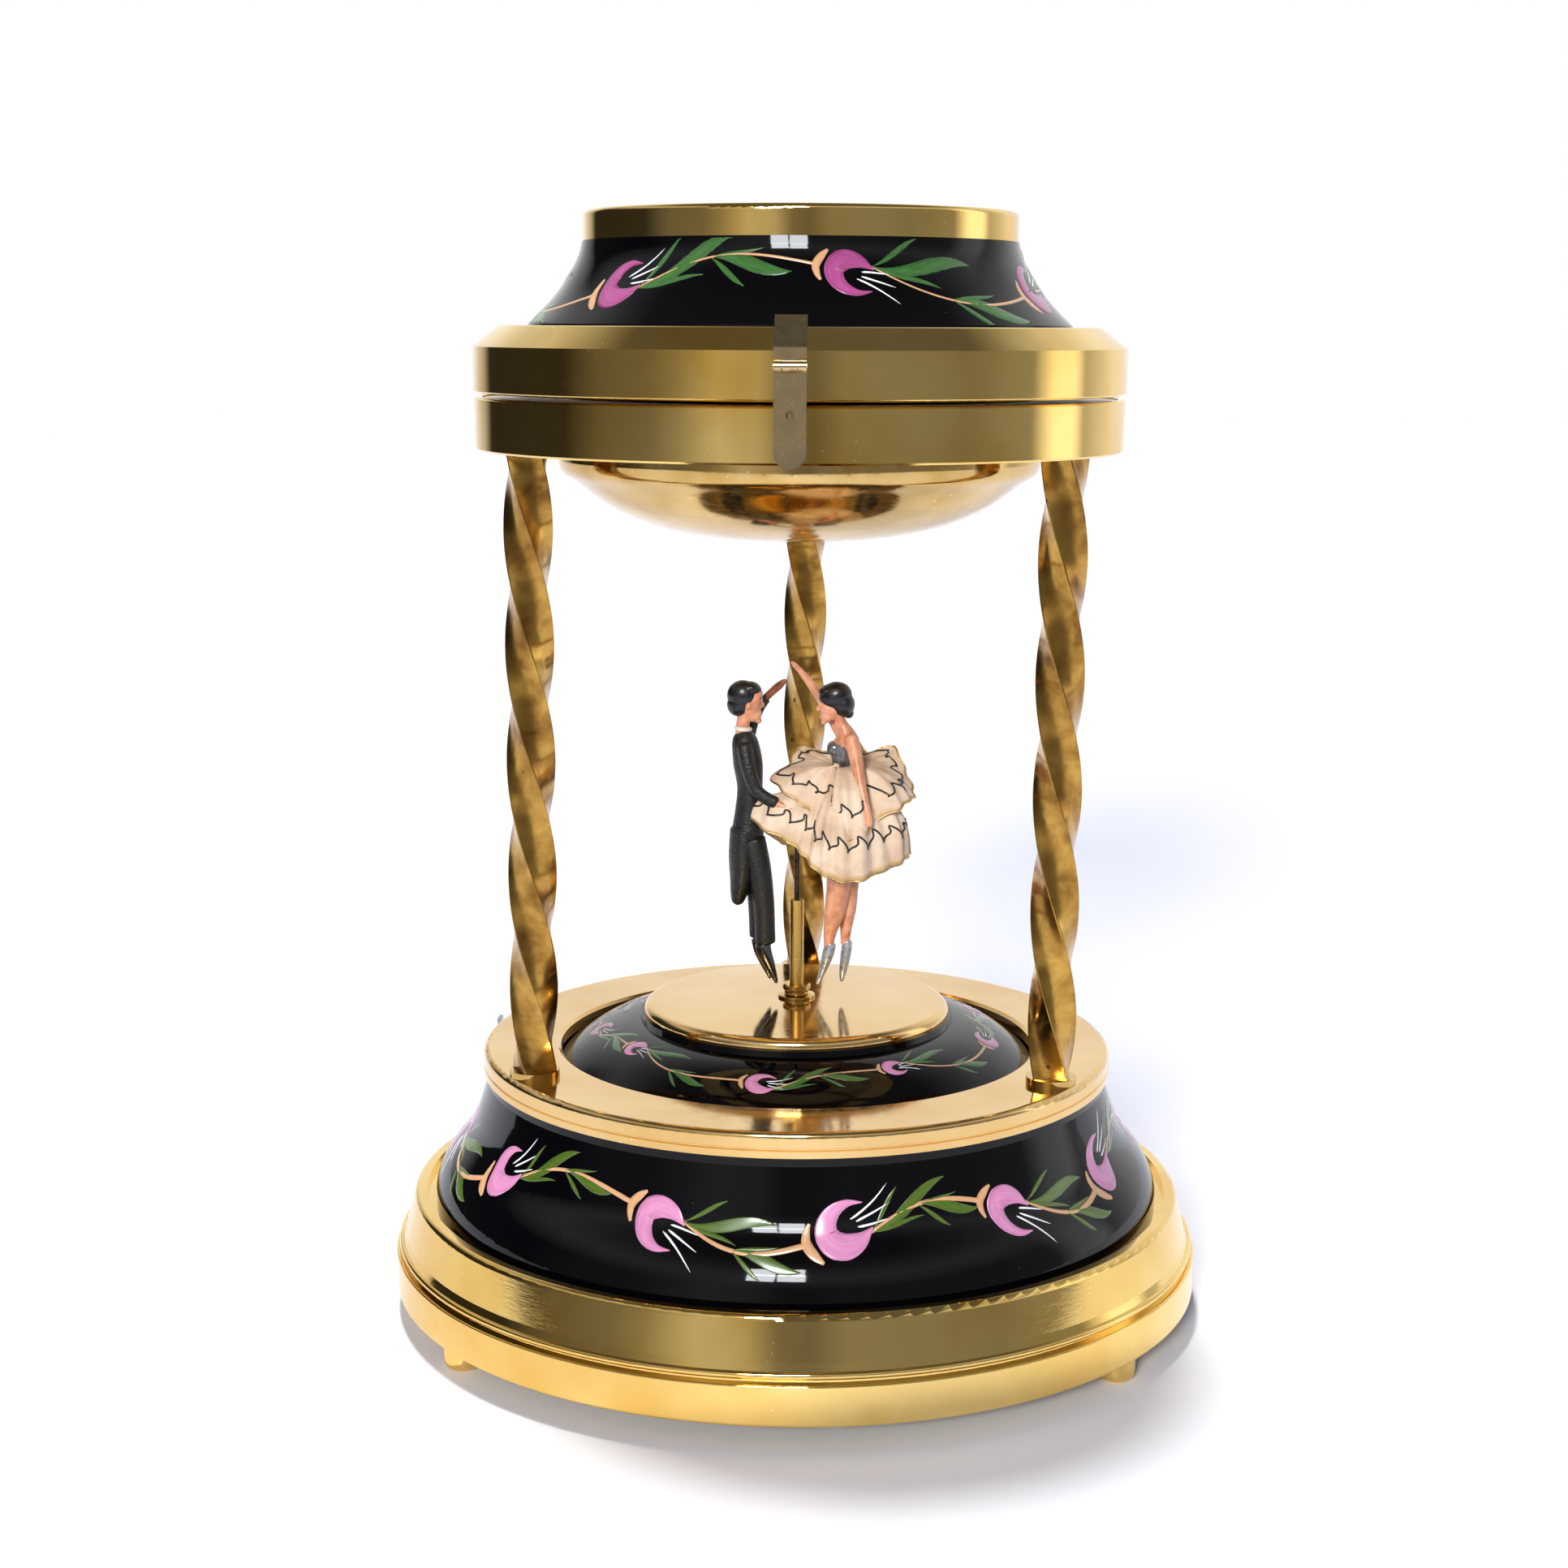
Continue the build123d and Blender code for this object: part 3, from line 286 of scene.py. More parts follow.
def wallPoint(tree):
    # maps (degrees from the front, height above the base edge) to the outside of an upright wall
    def find(turn, h):
        way = Vector((sin(radians(turn)), -cos(radians(turn)), 0))
        start = way * 90 * mm + Vector((0, 0, (h + baseEdge) * mm))
        hit, normal, index, distance = tree.ray_cast(start, -way)
        return hit, normal
    return find


def topPoint(tree):
    # maps (degrees from the front, distance from the axis) to a surface seen from above
    def find(turn, radius):
        start = Vector((sin(radians(turn)) * radius * mm, -cos(radians(turn)) * radius * mm, 0.3))
        hit, normal, index, distance = tree.ray_cast(start, Vector((0, 0, -1)))
        return hit, normal
    return find


def bezierPoints(a, b, c, d, steps=26):
    points = []
    for step in range(steps + 1):
        t = step / steps
        w = ((1 - t) ** 3, 3 * t * (1 - t) ** 2, 3 * t * t * (1 - t), t ** 3)
        points.append(tuple(w[0] * a[k] + w[1] * b[k] + w[2] * c[k] + w[3] * d[k] for k in (0, 1)))
    return points


def leafWidth(t):
    return max(0, sin(pi * min(1, t) ** 1.15)) ** 0.8


def stamenWidth(t):
    return min(1, t * 5 + 0.4) * (1 - t) ** 0.35


def stemWidth(t):
    return 0.55 + 0.45 * t


def throughPoints(p, k, t):
    # Catmull-Rom from p[1] to p[2], for the value at place k in each point
    return 0.5 * (2 * p[1][k] + (p[2][k] - p[0][k]) * t
                  + (2 * p[0][k] - 5 * p[1][k] + 4 * p[2][k] - p[3][k]) * t * t
                  + (3 * p[1][k] - p[0][k] - 3 * p[2][k] + p[3][k]) * t ** 3)


def smoothPath(points, perSpan=8):
    # a smooth run through (x, y, h, radius) points
    path = []
    last = len(points) - 1
    for index in range(last):
        p = [points[max(0, index - 1)], points[index], points[index + 1], points[min(last, index + 2)]]
        for step in range(perSpan):
            path.append(tuple(throughPoints(p, k, step / perSpan) for k in range(4)))
    path.append(points[-1])
    return path


class Painting:
    # gathers strokes drawn on the flat and lays them on a surface as thin films of paint
    def __init__(self, name, place, toSurface, kinds):
        self.name, self.place, self.toSurface, self.kinds = name, place, toSurface, kinds
        self.verts, self.faces, self.uvs, self.slots = [], [], [], []

    def shape(self, outline, kind, film, place):
        # a stroke through (x, y, width) stations, smoothly joined
        path = smoothPath([(x, y, width, 0) for x, y, width in outline])
        widths = [max(0.02, step[2]) for step in path]
        self.stroke([place(step[0], step[1]) for step in path], 1,
                    lambda t: widths[min(len(widths) - 1, round(t * (len(widths) - 1)))], kind, film)

    def stroke(self, points, width, shape, kind, film=paintFilm):
        first = len(self.verts)
        ring = ((-1, -0.6), (-0.7, 0.55), (0, 1.0), (0.7, 0.55), (1, -0.6), (0, -0.7))
        count = len(points)
        for index, (x, y) in enumerate(points):
            before, after = points[max(0, index - 1)], points[min(count - 1, index + 1)]
            along = Vector((after[0] - before[0], after[1] - before[1])).normalized()
            side = Vector((-along.y, along.x))
            t = index / (count - 1)
            half = max(0.02, width * shape(t) / 2)
            thin = 0.4 if index in (0, count - 1) else 1      # the film thins out at both ends
            for across, lift in ring:
                spot = Vector((x, y)) + side * half * across
                hit, normal = self.place(*self.toSurface(spot.x, spot.y))
                self.verts.append(hit + normal * (film * lift * mm * thin))
                self.uvs.append((across * 0.5 + 0.5, t * 2))
        size = len(ring)
        for index in range(count - 1):
            for k in range(size):
                a, b = first + index * size + k, first + index * size + (k + 1) % size
                self.faces.append((a, a + size, b + size, b))
                self.slots.append(self.kinds.index(kind))
        self.faces.append(tuple(first + k for k in range(size)))
        self.faces.append(tuple(first + (count - 1) * size + k for k in reversed(range(size))))
        self.slots += [self.kinds.index(kind)] * 2

    def finish(self, body):
        piece = newPiece(self.name, self.verts, self.faces, [paints[kind] for kind in self.kinds], self.uvs,
                         self.slots)
        mesh = bmesh.new()
        mesh.from_mesh(piece.data)
        bmesh.ops.recalc_face_normals(mesh, faces=mesh.faces)
        mesh.to_mesh(piece.data)
        mesh.free()
        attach(piece, body)
        return piece


# one flower in mm, opening along x: two petals as one fat crescent, the calyx that holds it, three stamens
petalShape = ((8.7, 1.2, 0.15), (6.7, 2.1, 1.15), (4.7, 2.1, 2.2), (3.1, 1.3, 3.2), (2.3, 0.0, 3.8),
              (2.7, -1.4, 3.9), (4.1, -2.4, 3.5), (6.2, -2.7, 2.3), (8.5, -2.2, 0.15))
calyxShape = ((0.75, 2.15, 0.5), (-0.1, 1.35, 1.15), (-0.65, 0.2, 1.6), (-0.25, -1.3, 1.45),
              (0.5, -2.7, 0.5))
stamenLines = (((6.1, 0.1), (8.6, 0.2), (10.4, 0.6), (13.0, 1.7)),
               ((6.7, -0.5), (8.4, -0.6), (10.0, -0.7), (12.2, -0.7)),
               ((6.6, -1.2), (8.0, -1.7), (9.3, -2.0), (11.1, -2.4)))


def flowerVine(painting, look, flowers):
    # a wavy stem that runs from flower to flower, each one opening up or down in turn
    size, petal, leaf = look["size"], look["petal"], look["leaf"]
    ends = []
    for number, s in enumerate(flowers):
        up = 1 if number % 2 == 0 else -1
        tilt = look["tilt"] * up + look["sway"] * sin(number * 2.3)
        base = Vector((s, look["middle"] - look["drop"] * up))
        grow = size * (1 + 0.06 * sin(number * 3.7))

        def local(x, y):
            c, d = cos(radians(tilt)), sin(radians(tilt))
            return (base.x + grow * (x * c - y * up * d), base.y + grow * (x * d + y * up * c))

        painting.shape([(x, y, width * grow) for x, y, width in calyxShape], "stem", paintFilm, local)
        painting.shape([(x, y, width * grow) for x, y, width in petalShape], petal, 0.08, local)
        for line in stamenLines:
            painting.stroke(bezierPoints(*(local(x, y) for x, y in line), 10), 0.4 * grow, stamenWidth,
                            "stamen", paintFilm * 1.2)
        ends.append((base, tilt, up, local(8.0, -2.6)))
    for number, (base, tilt, up, tip) in enumerate(ends):
        nextBase, nextTilt = ends[(number + 1) % len(ends)][:2]
        goal = Vector((nextBase.x + (look["round"] if number + 1 == len(ends) else 0), nextBase.y))
        gap = goal.x - tip[0]
        lead = radians(nextTilt * 0.55)
        stem = bezierPoints(tip, (tip[0] + gap * 0.4, tip[1] + up * gap * 0.22),
                            (goal.x - cos(lead) * gap * 0.4, goal.y - sin(lead) * gap * 0.4), tuple(goal))
        painting.stroke(stem, look["stem"], stemWidth, "stem", paintFilm)
        for share, side, heading, leaves in vineLeaves:
            root = stem[int(share * (len(stem) - 1))]
            rise = up * 14 * (1 - 2 * share)
            for turn, length, swing, width in leaves:
                way, long = side * (heading + turn) + rise, length * look["leafSize"]
                steps = [root]
                for part in (-swing, swing, -swing * 0.9):
                    angle = radians(way + side * part)
                    steps.append((steps[-1][0] + cos(angle) * long / 3,
                                  steps[-1][1] + sin(angle) * long / 3))
                painting.stroke(bezierPoints(*steps, 16), width * look["leafSize"], leafWidth, leaf,
                                paintFilm)


# each group: place along the stem, side, heading, and its leaves as (turn, length, swing, width) in mm
vineLeaves = (
    (0.03, 1, 20, ((4, 16.0, 30, 2.0), (24, 7.6, 14, 0.8), (-18, 9.0, 16, 0.7))),
    (0.42, -1, 16, ((4, 11.5, 28, 1.9), (24, 6.0, 12, 0.8), (-20, 7.0, 10, 0.5))),
)


def spreadFlowers(seen, hidden):
    # the angles of the front flowers, then the rest spaced evenly round the back
    gap = (360 - (seen[-1] - seen[0])) / (hidden + 1)
    return list(seen) + [seen[-1] + gap * (k + 1) for k in range(hidden)]


skirtVine = {"within": (15.8, 33.4), "radius": 51.5, "seen": (-60, -25, 4, 33.5, 60), "hidden": 7,
             "middle": 24.1, "drop": 1.5, "tilt": 32, "sway": 7, "size": 0.97, "petal": "petal",
             "leaf": "leaf", "stem": 0.85, "leafSize": 0.95}
bandVine = {"within": (148.4, 160.1), "radius": 35.5, "seen": (-50, 6, 63), "hidden": 3, "middle": 154.4,
            "drop": 2.0, "tilt": 24, "sway": 6, "size": 0.92, "petal": "petalDark", "leaf": "leafDark",
            "stem": 0.5, "leafSize": 1.2}
domeVine = {"within": (25.0, 36.4), "radius": 30.0, "seen": (-88, -60, -13, 27, 72), "hidden": 5,
            "middle": 30.0, "drop": 0.9, "tilt": 12, "sway": 12, "size": 0.52, "petal": "petal",
            "leaf": "leafDark", "stem": 0.45, "leafSize": 0.72}
plateVine = {"within": (6.0, 29.5), "radius": 19.0, "seen": (-60, 0, 60), "hidden": 3, "middle": 19.0,
             "drop": 0.6, "tilt": 26, "sway": 6, "size": 0.6, "petal": "petalDark", "leaf": "leafDark",
             "stem": 0.45, "leafSize": 0.62}


def paintVine(name, node, look, body, flat):
    tree = surfaceTree(node)
    perMm = 180 / pi / look["radius"]
    look["round"] = 360 / perMm
    place = topPoint(tree) if flat else wallPoint(tree)
    low, high = look["within"]
    inside = lambda value: min(max(value, low), high)
    if flat:
        # on a level surface the vine's upper side points inwards
        toSurface = lambda s, t: (s * perMm, inside(2 * look["middle"] - t))
    else:
        toSurface = lambda s, t: (s * perMm, inside(t))
    kinds = ["stem", look["petal"], look["leaf"], "stamen"]
    painting = Painting(name, place, toSurface, kinds)
    flowers = [turn / perMm for turn in spreadFlowers(look["seen"], look["hidden"])]
    flowerVine(painting, look, flowers)
    return painting.finish(body)


paintVine("skirtFlowers", "base_skirt", skirtVine, "stand", False)
paintVine("bandFlowers", "lid_band", bandVine, "lid", False)
paintVine("domeFlowers", "stage_dome", domeVine, "stand", True)
paintVine("plateFlowers", "lid_plate", plateVine, "lid", True)
print("flowers painted on the enamel")

# finishes on the fixed parts, each with the parts that wear it
finishes = {
    polishedBrass: "base_shell tray_ring lid_ring lid_rim mirror_ring feet",
    stageBrass: "stage_ring stage_disc",
    bowlBrass: "tray_bowl spindle_bush turning_collar column_collars",
    agedBrass: "column_left column_right column_rear",
    clockBrass: "hinge_leaf_lower hinge_leaf_upper hinge_pin bedplate barrel_bridge bearing_left "
                "bearing_right bearing_fly spindle great_wheel barrel_drum pinned_cylinder fly_wheel "
                "comb_base column_nuts lever_post",
    machinedSteel: "plate_screws bearing_screws comb comb_screws mainspring winding_arbor cylinder_pinion "
                   "fly_pinion spindle_pinion fly_fan stop_lever",
    gunBlackRod: "dancer_rod",
    wornNickel: "hasp hasp_bracket hasp_pin catch_stud winding_key",
    blackEnamel: "base_skirt stage_dome lid_band lid_plate bottom_plate",
    silvering: "lid_mirror",
}


for material, names in finishes.items():
    for name in names.split():
        piece = nodes[name]
        if not piece.material_slots:
            piece.data.materials.append(material)
        for slot in piece.material_slots:
            slot.material = material
print("finishes set on", sum(len(names.split()) for names in finishes.values()), "parts")


def mouldedPaint(name, main, shade, rough, streakMm=1.6, bump=0.3, coat=0.3, metallic=0.0, lumpMm=0.06):
    # enamel hobby paint over a moulded figure: slight pooling of tone and a brushed, lumpy gloss
    material, tree, shader, coords = newMaterial(name, Coat_Weight=coat, Coat_Roughness=0.2,
                                                 Metallic=metallic)
    place = coords.outputs["Object"]
    pool = addNode(tree, "ShaderNodeTexNoise", {"Scale": 1000 / streakMm, "Detail": 4.0, "Roughness": 0.6},
                   Vector=place)
    colour = addRamp(tree, pool.outputs["Fac"], ((0.34, shade), (0.6, main)))
    tree.links.new(colour, shader.inputs["Base Color"])
    gloss = addNode(tree, "ShaderNodeMapRange", {"From Min": 0.3, "From Max": 0.7, "To Min": rough - 0.08,
                                                "To Max": rough + 0.1}, Value=pool.outputs["Fac"])
    tree.links.new(gloss.outputs["Result"], shader.inputs["Roughness"])
    grit = addNode(tree, "ShaderNodeTexNoise", {"Scale": 1000 / 0.5, "Detail": 3.0}, Vector=place)
    addBump(tree, shader, grit.outputs["Fac"], bump, lumpMm * mm)
    return material


dancerPaint = {
    "flesh": mouldedPaint("fleshPaint", "#E0A17C", "#C07A55", 0.42, 2.2, 0.12),
    "coat": mouldedPaint("coatBlackPaint", "#161614", "#060606", 0.42, 0.6, 0.9, 0.05, lumpMm=0.22),
    "hair": mouldedPaint("hairBlackPaint", "#0A0C14", "#050509", 0.34, 1.2, 0.5, 0.25),
    "shoe": mouldedPaint("shoeBlackPaint", "#0D0C0B", "#080706", 0.15, 1.2, 0.15, 0.8),
    "bodice": mouldedPaint("bodicePewterPaint", "#77777A", "#4A484B", 0.3, 1.0, 0.15, 0.4, 0.5),
    "slipper": mouldedPaint("slipperSilverPaint", "#B9BDC2", "#8F9399", 0.3, 0.9, 0.12, 0.3, 0.6),
    "glove": mouldedPaint("handBrownPaint", "#8F4E2C", "#5E2E17", 0.35, 1.2, 0.25),
    "linen": mouldedPaint("linenWhitePaint", "#EFE6D8", "#D5C8B2", 0.45, 1.0, 0.2),
    "ink": mouldedPaint("featureInk", "#17110F", "#0C0908", 0.3, 1.0, 0.05),
    "lips": mouldedPaint("lipRedPaint", "#A83A34", "#8C2B28", 0.35, 1.0, 0.05),
}


def addLimb(mesh, points, depth=1.0, sides=18):
    # a smooth limb through points, rounded at both ends; depth widens it in y
    path = smoothPath(points)
    rings = []
    total = len(path)
    for index, (x, y, h, radius) in enumerate(path):
        ahead, behind = path[min(total - 1, index + 1)], path[max(0, index - 1)]
        way = (at(*ahead[:3]) - at(*behind[:3])).normalized()
        side = way.cross(Vector((0, 1, 0)))
        side = side.normalized() if side.length > 0.05 else Vector((1, 0, 0))
        over = side.cross(way).normalized()
        rings.append([mesh.verts.new(at(x, y, h) + (side * cos(2 * pi * k / sides)
                                                    + over * depth * sin(2 * pi * k / sides)) * radius * mm)
                      for k in range(sides)])
    for a, b in zip(rings, rings[1:]):
        for k in range(sides):
            mesh.faces.new((a[k], a[(k + 1) % sides], b[(k + 1) % sides], b[k]))
    for ring, (x, y, h, radius), sign in ((rings[0], path[0], -1), (rings[-1], path[-1], 1)):
        near = path[1] if sign < 0 else path[-2]
        way = (at(x, y, h) - at(*near[:3])).normalized()
        cap = mesh.verts.new(at(x, y, h) + way * radius * 0.6 * mm)
        for k in range(sides):
            mesh.faces.new((ring[k], ring[(k + 1) % sides], cap))


def addBall(mesh, centre, radii, tilt=0.0):
    # an egg shape; tilt turns it in the plane of the dancers, in degrees
    turn = Matrix.Rotation(radians(tilt), 4, "Y")
    size = Matrix.Diagonal((radii[0] * mm, radii[1] * mm, radii[2] * mm, 1))
    bmesh.ops.create_uvsphere(mesh, u_segments=24, v_segments=16, radius=1,
                              matrix=Matrix.Translation(at(*centre)) @ turn @ size)


def moulded(name, paint, limbs=(), balls=(), voxel=0.2, body="dancers", smoothing=4):
    mesh = bmesh.new()
    for limb in limbs:
        points, depth = limb if isinstance(limb[0], (list, tuple)) and isinstance(limb[1],
                                                                                  float) else (limb, 1.0)
        addLimb(mesh, points, depth)
    for ball in balls:
        addBall(mesh, *ball)
    bmesh.ops.recalc_face_normals(mesh, faces=mesh.faces)
    data = bpy.data.meshes.new(name)
    mesh.to_mesh(data)
    mesh.free()
    data.materials.append(dancerPaint[paint])
    piece = bpy.data.objects.new(name, data)
    bpy.context.collection.objects.link(piece)
    remesh = piece.modifiers.new("Fuse", "REMESH")
    remesh.mode = "VOXEL"
    remesh.voxel_size = voxel * mm
    relax = piece.modifiers.new("Soften", "SMOOTH")
    relax.factor = 0.5
    relax.iterations = smoothing
    applied(piece)
    for polygon in piece.data.polygons:
        polygon.use_smooth = True
    if not piece.data.materials:
        piece.data.materials.append(dancerPaint[paint])
    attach(piece, body)
    return piece


gentlemanShape = {
    "coat": [
        ([(-8.3, 0, 86.3, 1.15), (-8.2, 0, 84.9, 2.0), (-7.7, 0, 81.3, 2.3), (-7.4, 0, 77.6, 2.0),
          (-7.5, 0, 74.0, 2.2), (-7.7, 0, 70.5, 2.5), (-8.0, 0, 67.5, 2.2)], 1.12),
        ([(-8.2, 0, 71, 2.3), (-8.4, 0, 67, 2.3), (-8.6, 0, 63.4, 1.95), (-9.1, 0, 60.6, 1.35),
          (-9.3, 0, 59.2, 0.9)],
         1.35),
        [(-8.2, -2.0, 84.3, 1.2), (-7.5, -2.9, 81, 1.15), (-6.4, -3.3, 77.9, 1.05), (-4.6, -3.6, 76.4, 1.0),
         (-3.2, -3.7, 75.8, 0.98)],
        [(-8.0, 1.9, 84.4, 1.2), (-7.2, 2.7, 87.2, 1.0), (-6.0, 2.8, 89.8, 0.85), (-5.1, 2.7, 91.1, 0.85)],
    ],
    "trousers": [
        [(-7.0, -1.1, 69.5, 2.1), (-5.9, -1.15, 65, 1.9), (-5.2, -1.1, 60, 1.7), (-4.95, -1.1, 56, 1.6),
         (-4.9, -1.1, 53.2, 1.65)],
        [(-7.5, 1.2, 69.5, 2.0), (-6.7, 1.3, 65, 1.8), (-6.2, 1.3, 59, 1.55), (-6.0, 1.3, 53.6, 1.5)],
    ],
    "shoes": [
        [(-5.3, -1.1, 52.9, 1.25), (-4.9, -1.05, 51.2, 1.15), (-4.1, -0.9, 49.2, 0.85),
         (-3.45, -0.75, 47.5, 0.5), (-3.1, -0.7, 46.5, 0.28)],
        [(-6.1, 1.3, 53.1, 1.15), (-5.7, 1.3, 51.2, 1.05), (-5.0, 1.3, 49.2, 0.8), (-4.4, 1.3, 47.4, 0.4),
         (-4.2, 1.3, 46.7, 0.25)],
    ],
    "neck": [[(-8.6, 0, 85.9, 1.15), (-8.5, 0, 87.6, 1.05), (-8.1, 0, 89.4, 1.2)]],
    "head": [((-7.45, 0, 91.0), (2.0, 1.75, 2.75), 8), ((-6.9, 0, 89.0), (1.35, 1.25, 1.2), 0),
             ((-5.5, 0, 90.5), (0.4, 0.3, 0.5), -20), ((-5.85, 0, 89.1), (0.36, 0.5, 0.28), 0),
             ((-6.1, 0, 88.0), (0.55, 0.62, 0.45), 0), ((-5.85, 0, 92.2), (0.42, 1.0, 0.6), 0),
             ((-7.6, -1.85, 90.5), (0.42, 0.26, 0.6), 0), ((-7.6, 1.85, 90.5), (0.42, 0.26, 0.6), 0)],
    "hair": [((-8.5, 0, 91.9), (2.5, 2.2, 2.4), 16), ((-9.1, 0, 90.5), (1.9, 1.95, 1.9), 0),
             ((-7.2, 0, 93.1), (1.6, 1.8, 1.0), 16), ((-8.0, 0, 91.0), (0.9, 2.0, 1.1), 0)],
    "lowHand": [[(-3.4, -3.7, 75.7, 0.6), (-2.4, -3.8, 75.3, 0.75), (-1.2, -3.95, 74.8, 0.68),
                 (-0.3, -4.0, 74.3, 0.4)],
                [(-1.5, -4.3, 75.0, 0.3), (-0.4, -4.6, 74.9, 0.28), (0.3, -4.6, 74.5, 0.22)],
                [(-1.4, -4.4, 74.5, 0.3), (-0.5, -4.75, 74.1, 0.28), (0.2, -4.7, 73.7, 0.22)]],
    "highHand": [[(-5.3, 2.7, 91.0, 0.6), (-4.2, 2.55, 92.1, 0.6), (-3.1, 2.3, 93.1, 0.62),
                  (-2.3, 2.05, 93.8, 0.45), (-1.9, 1.95, 94.0, 0.3)]],
    "collar": [((-8.5, 0, 86.75), (1.5, 1.45, 0.55), 6)],
}
ladyShape = {
    "torso": [
        ([(7.0, 0, 83.6, 1.7), (7.5, 0, 85.1, 1.9), (7.3, 0, 86.4, 1.35), (6.8, 0, 87.6, 0.9),
          (6.3, 0, 88.7, 0.85), (5.9, 0, 89.6, 1.0)], 1.2),
        [(8.2, -1.8, 85.7, 1.2), (8.8, -2.9, 83.8, 1.15), (9.3, -4.3, 81.5, 0.98), (9.9, -5.9, 78.6, 0.84),
         (10.6, -7.2, 76.0, 0.66), (10.9, -7.7, 75.0, 0.55)],
        [(6.8, 1.9, 85.8, 1.1), (5.4, 2.5, 88.0, 0.95), (3.7, 2.7, 90.8, 0.82), (1.9, 2.3, 93.5, 0.68),
         (0.5, 1.9, 95.3, 0.5), (0.0, 1.8, 95.9, 0.42)],
        [(10.9, -7.7, 75.0, 0.55), (11.1, -8.1, 74.2, 0.64), (11.2, -8.4, 73.2, 0.4)],
        [(10.9, -8.0, 74.4, 0.3), (10.4, -8.5, 73.6, 0.24)],
        [(0.1, 1.85, 95.7, 0.4), (-0.5, 1.75, 96.4, 0.42), (-1.1, 1.6, 97.0, 0.22)],
        [(-0.2, 1.9, 96.1, 0.22), (-1.0, 2.1, 96.4, 0.18)],
    ],
    "legs": [
        [(6.9, -0.95, 73, 2.2), (6.7, -0.95, 67, 2.1), (6.5, -0.95, 62.8, 1.9), (6.2, -0.95, 60.0, 1.75),
         (5.7, -0.95, 57.2, 1.55), (5.2, -0.95, 54.6, 1.02), (5.0, -0.95, 52.4, 0.72)],
        [(8.3, 1.1, 73, 2.0), (8.3, 1.1, 66, 1.75), (8.1, 1.1, 61.5, 1.5), (7.9, 1.1, 58.2, 1.4),
         (7.7, 1.0, 55.0, 0.95), (7.55, 0.95, 52.4, 0.66)],
    ],
    "slippers": [
        [(5.35, -0.95, 53.0, 0.86), (4.9, -0.95, 51.2, 0.92), (4.3, -0.95, 49.2, 0.66),
         (3.7, -0.95, 47.5, 0.44), (3.3, -0.95, 46.4, 0.25)],
        [(7.95, 0.95, 53.0, 0.8), (7.75, 0.95, 51.2, 0.85), (7.45, 0.95, 49.2, 0.72),
         (7.2, 0.95, 47.5, 0.5), (7.1, 0.95, 46.5, 0.28)],
    ],
    "bodice": [([(7.0, 0, 84.5, 1.85), (6.9, 0, 82.8, 1.8), (6.8, 0, 80.8, 1.4), (6.8, 0, 79.2, 1.7),
                 (6.9, 0, 77.6, 1.9)], 1.2)],
    "bust": [((5.65, -0.95, 83.8), (1.15, 1.0, 1.05), 0), ((5.65, 0.95, 83.8), (1.15, 1.0, 1.05), 0)],
    "head": [((5.0, 0, 90.6), (1.8, 1.7, 2.5), -22), ((4.55, 0, 88.95), (1.15, 1.1, 1.05), 0),
             ((3.15, 0, 90.0), (0.36, 0.28, 0.45), 16), ((3.6, 0, 88.75), (0.32, 0.46, 0.25), 0),
             ((4.05, 0, 87.9), (0.5, 0.55, 0.4), 0), ((3.6, 0, 91.6), (0.42, 0.9, 0.55), 0)],
    "hair": [((5.75, 0, 91.9), (2.65, 2.25, 2.25), -20), ((6.9, 0, 90.7), (1.9, 2.05, 2.0), 0),
             ((4.4, 0, 92.7), (1.3, 1.7, 1.0), -24), ((7.8, 0, 89.3), (0.85, 1.2, 0.8), 0),
             ((6.0, 0, 90.6), (0.9, 1.95, 1.1), 0)],
}


def bothSides(x, y, h, radii, tilt=0):
    return [((x, -y, h), radii, tilt), ((x, y, h), radii, tilt)]


coat = moulded("coat", "coat", gentlemanShape["coat"])
moulded("trousers", "coat", gentlemanShape["trousers"])
moulded("gentlemanShoes", "shoe", gentlemanShape["shoes"], voxel=0.14)
moulded("gentlemanHead", "flesh", gentlemanShape["neck"], gentlemanShape["head"], voxel=0.13, smoothing=6)
moulded("gentlemanHair", "hair", (), gentlemanShape["hair"], voxel=0.13)
moulded("gentlemanCollar", "linen", (), gentlemanShape["collar"], voxel=0.13)
moulded("gentlemanLowHand", "flesh", gentlemanShape["lowHand"], voxel=0.1, smoothing=3)
moulded("gentlemanHighHand", "glove", gentlemanShape["highHand"], voxel=0.1)
moulded("gentlemanEyes", "ink", (), bothSides(-5.83, 0.72, 90.95, (0.14, 0.3, 0.2))
        + bothSides(-5.75, 0.75, 91.65, (0.14, 0.42, 0.1)), voxel=0.06, smoothing=1)
moulded("gentlemanLips", "lips", (), [((-5.6, 0, 89.1), (0.14, 0.4, 0.13), 0)], voxel=0.05, smoothing=1)
ladyTorso = moulded("ladyTorso", "flesh", ladyShape["torso"], voxel=0.12, smoothing=4)
moulded("ladyLegs", "flesh", ladyShape["legs"], voxel=0.16)
moulded("ladySlippers", "slipper", ladyShape["slippers"], voxel=0.12)
moulded("ladyBodice", "bodice", ladyShape["bodice"], ladyShape["bust"], voxel=0.12, smoothing=3)
moulded("ladyHead", "flesh", (), ladyShape["head"], voxel=0.12, smoothing=6)
moulded("ladyHair", "hair", (), ladyShape["hair"], voxel=0.12)
moulded("ladyEyes", "ink", (), bothSides(3.58, 0.68, 90.7, (0.14, 0.3, 0.16))
        + bothSides(3.5, 0.7, 91.35, (0.12, 0.4, 0.09)), voxel=0.05, smoothing=1)
moulded("ladyLips", "lips", (), [((3.42, 0, 88.95), (0.13, 0.36, 0.12), 0)], voxel=0.05, smoothing=1)
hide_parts("gentleman")
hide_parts("lady")
print("dancers moulded")


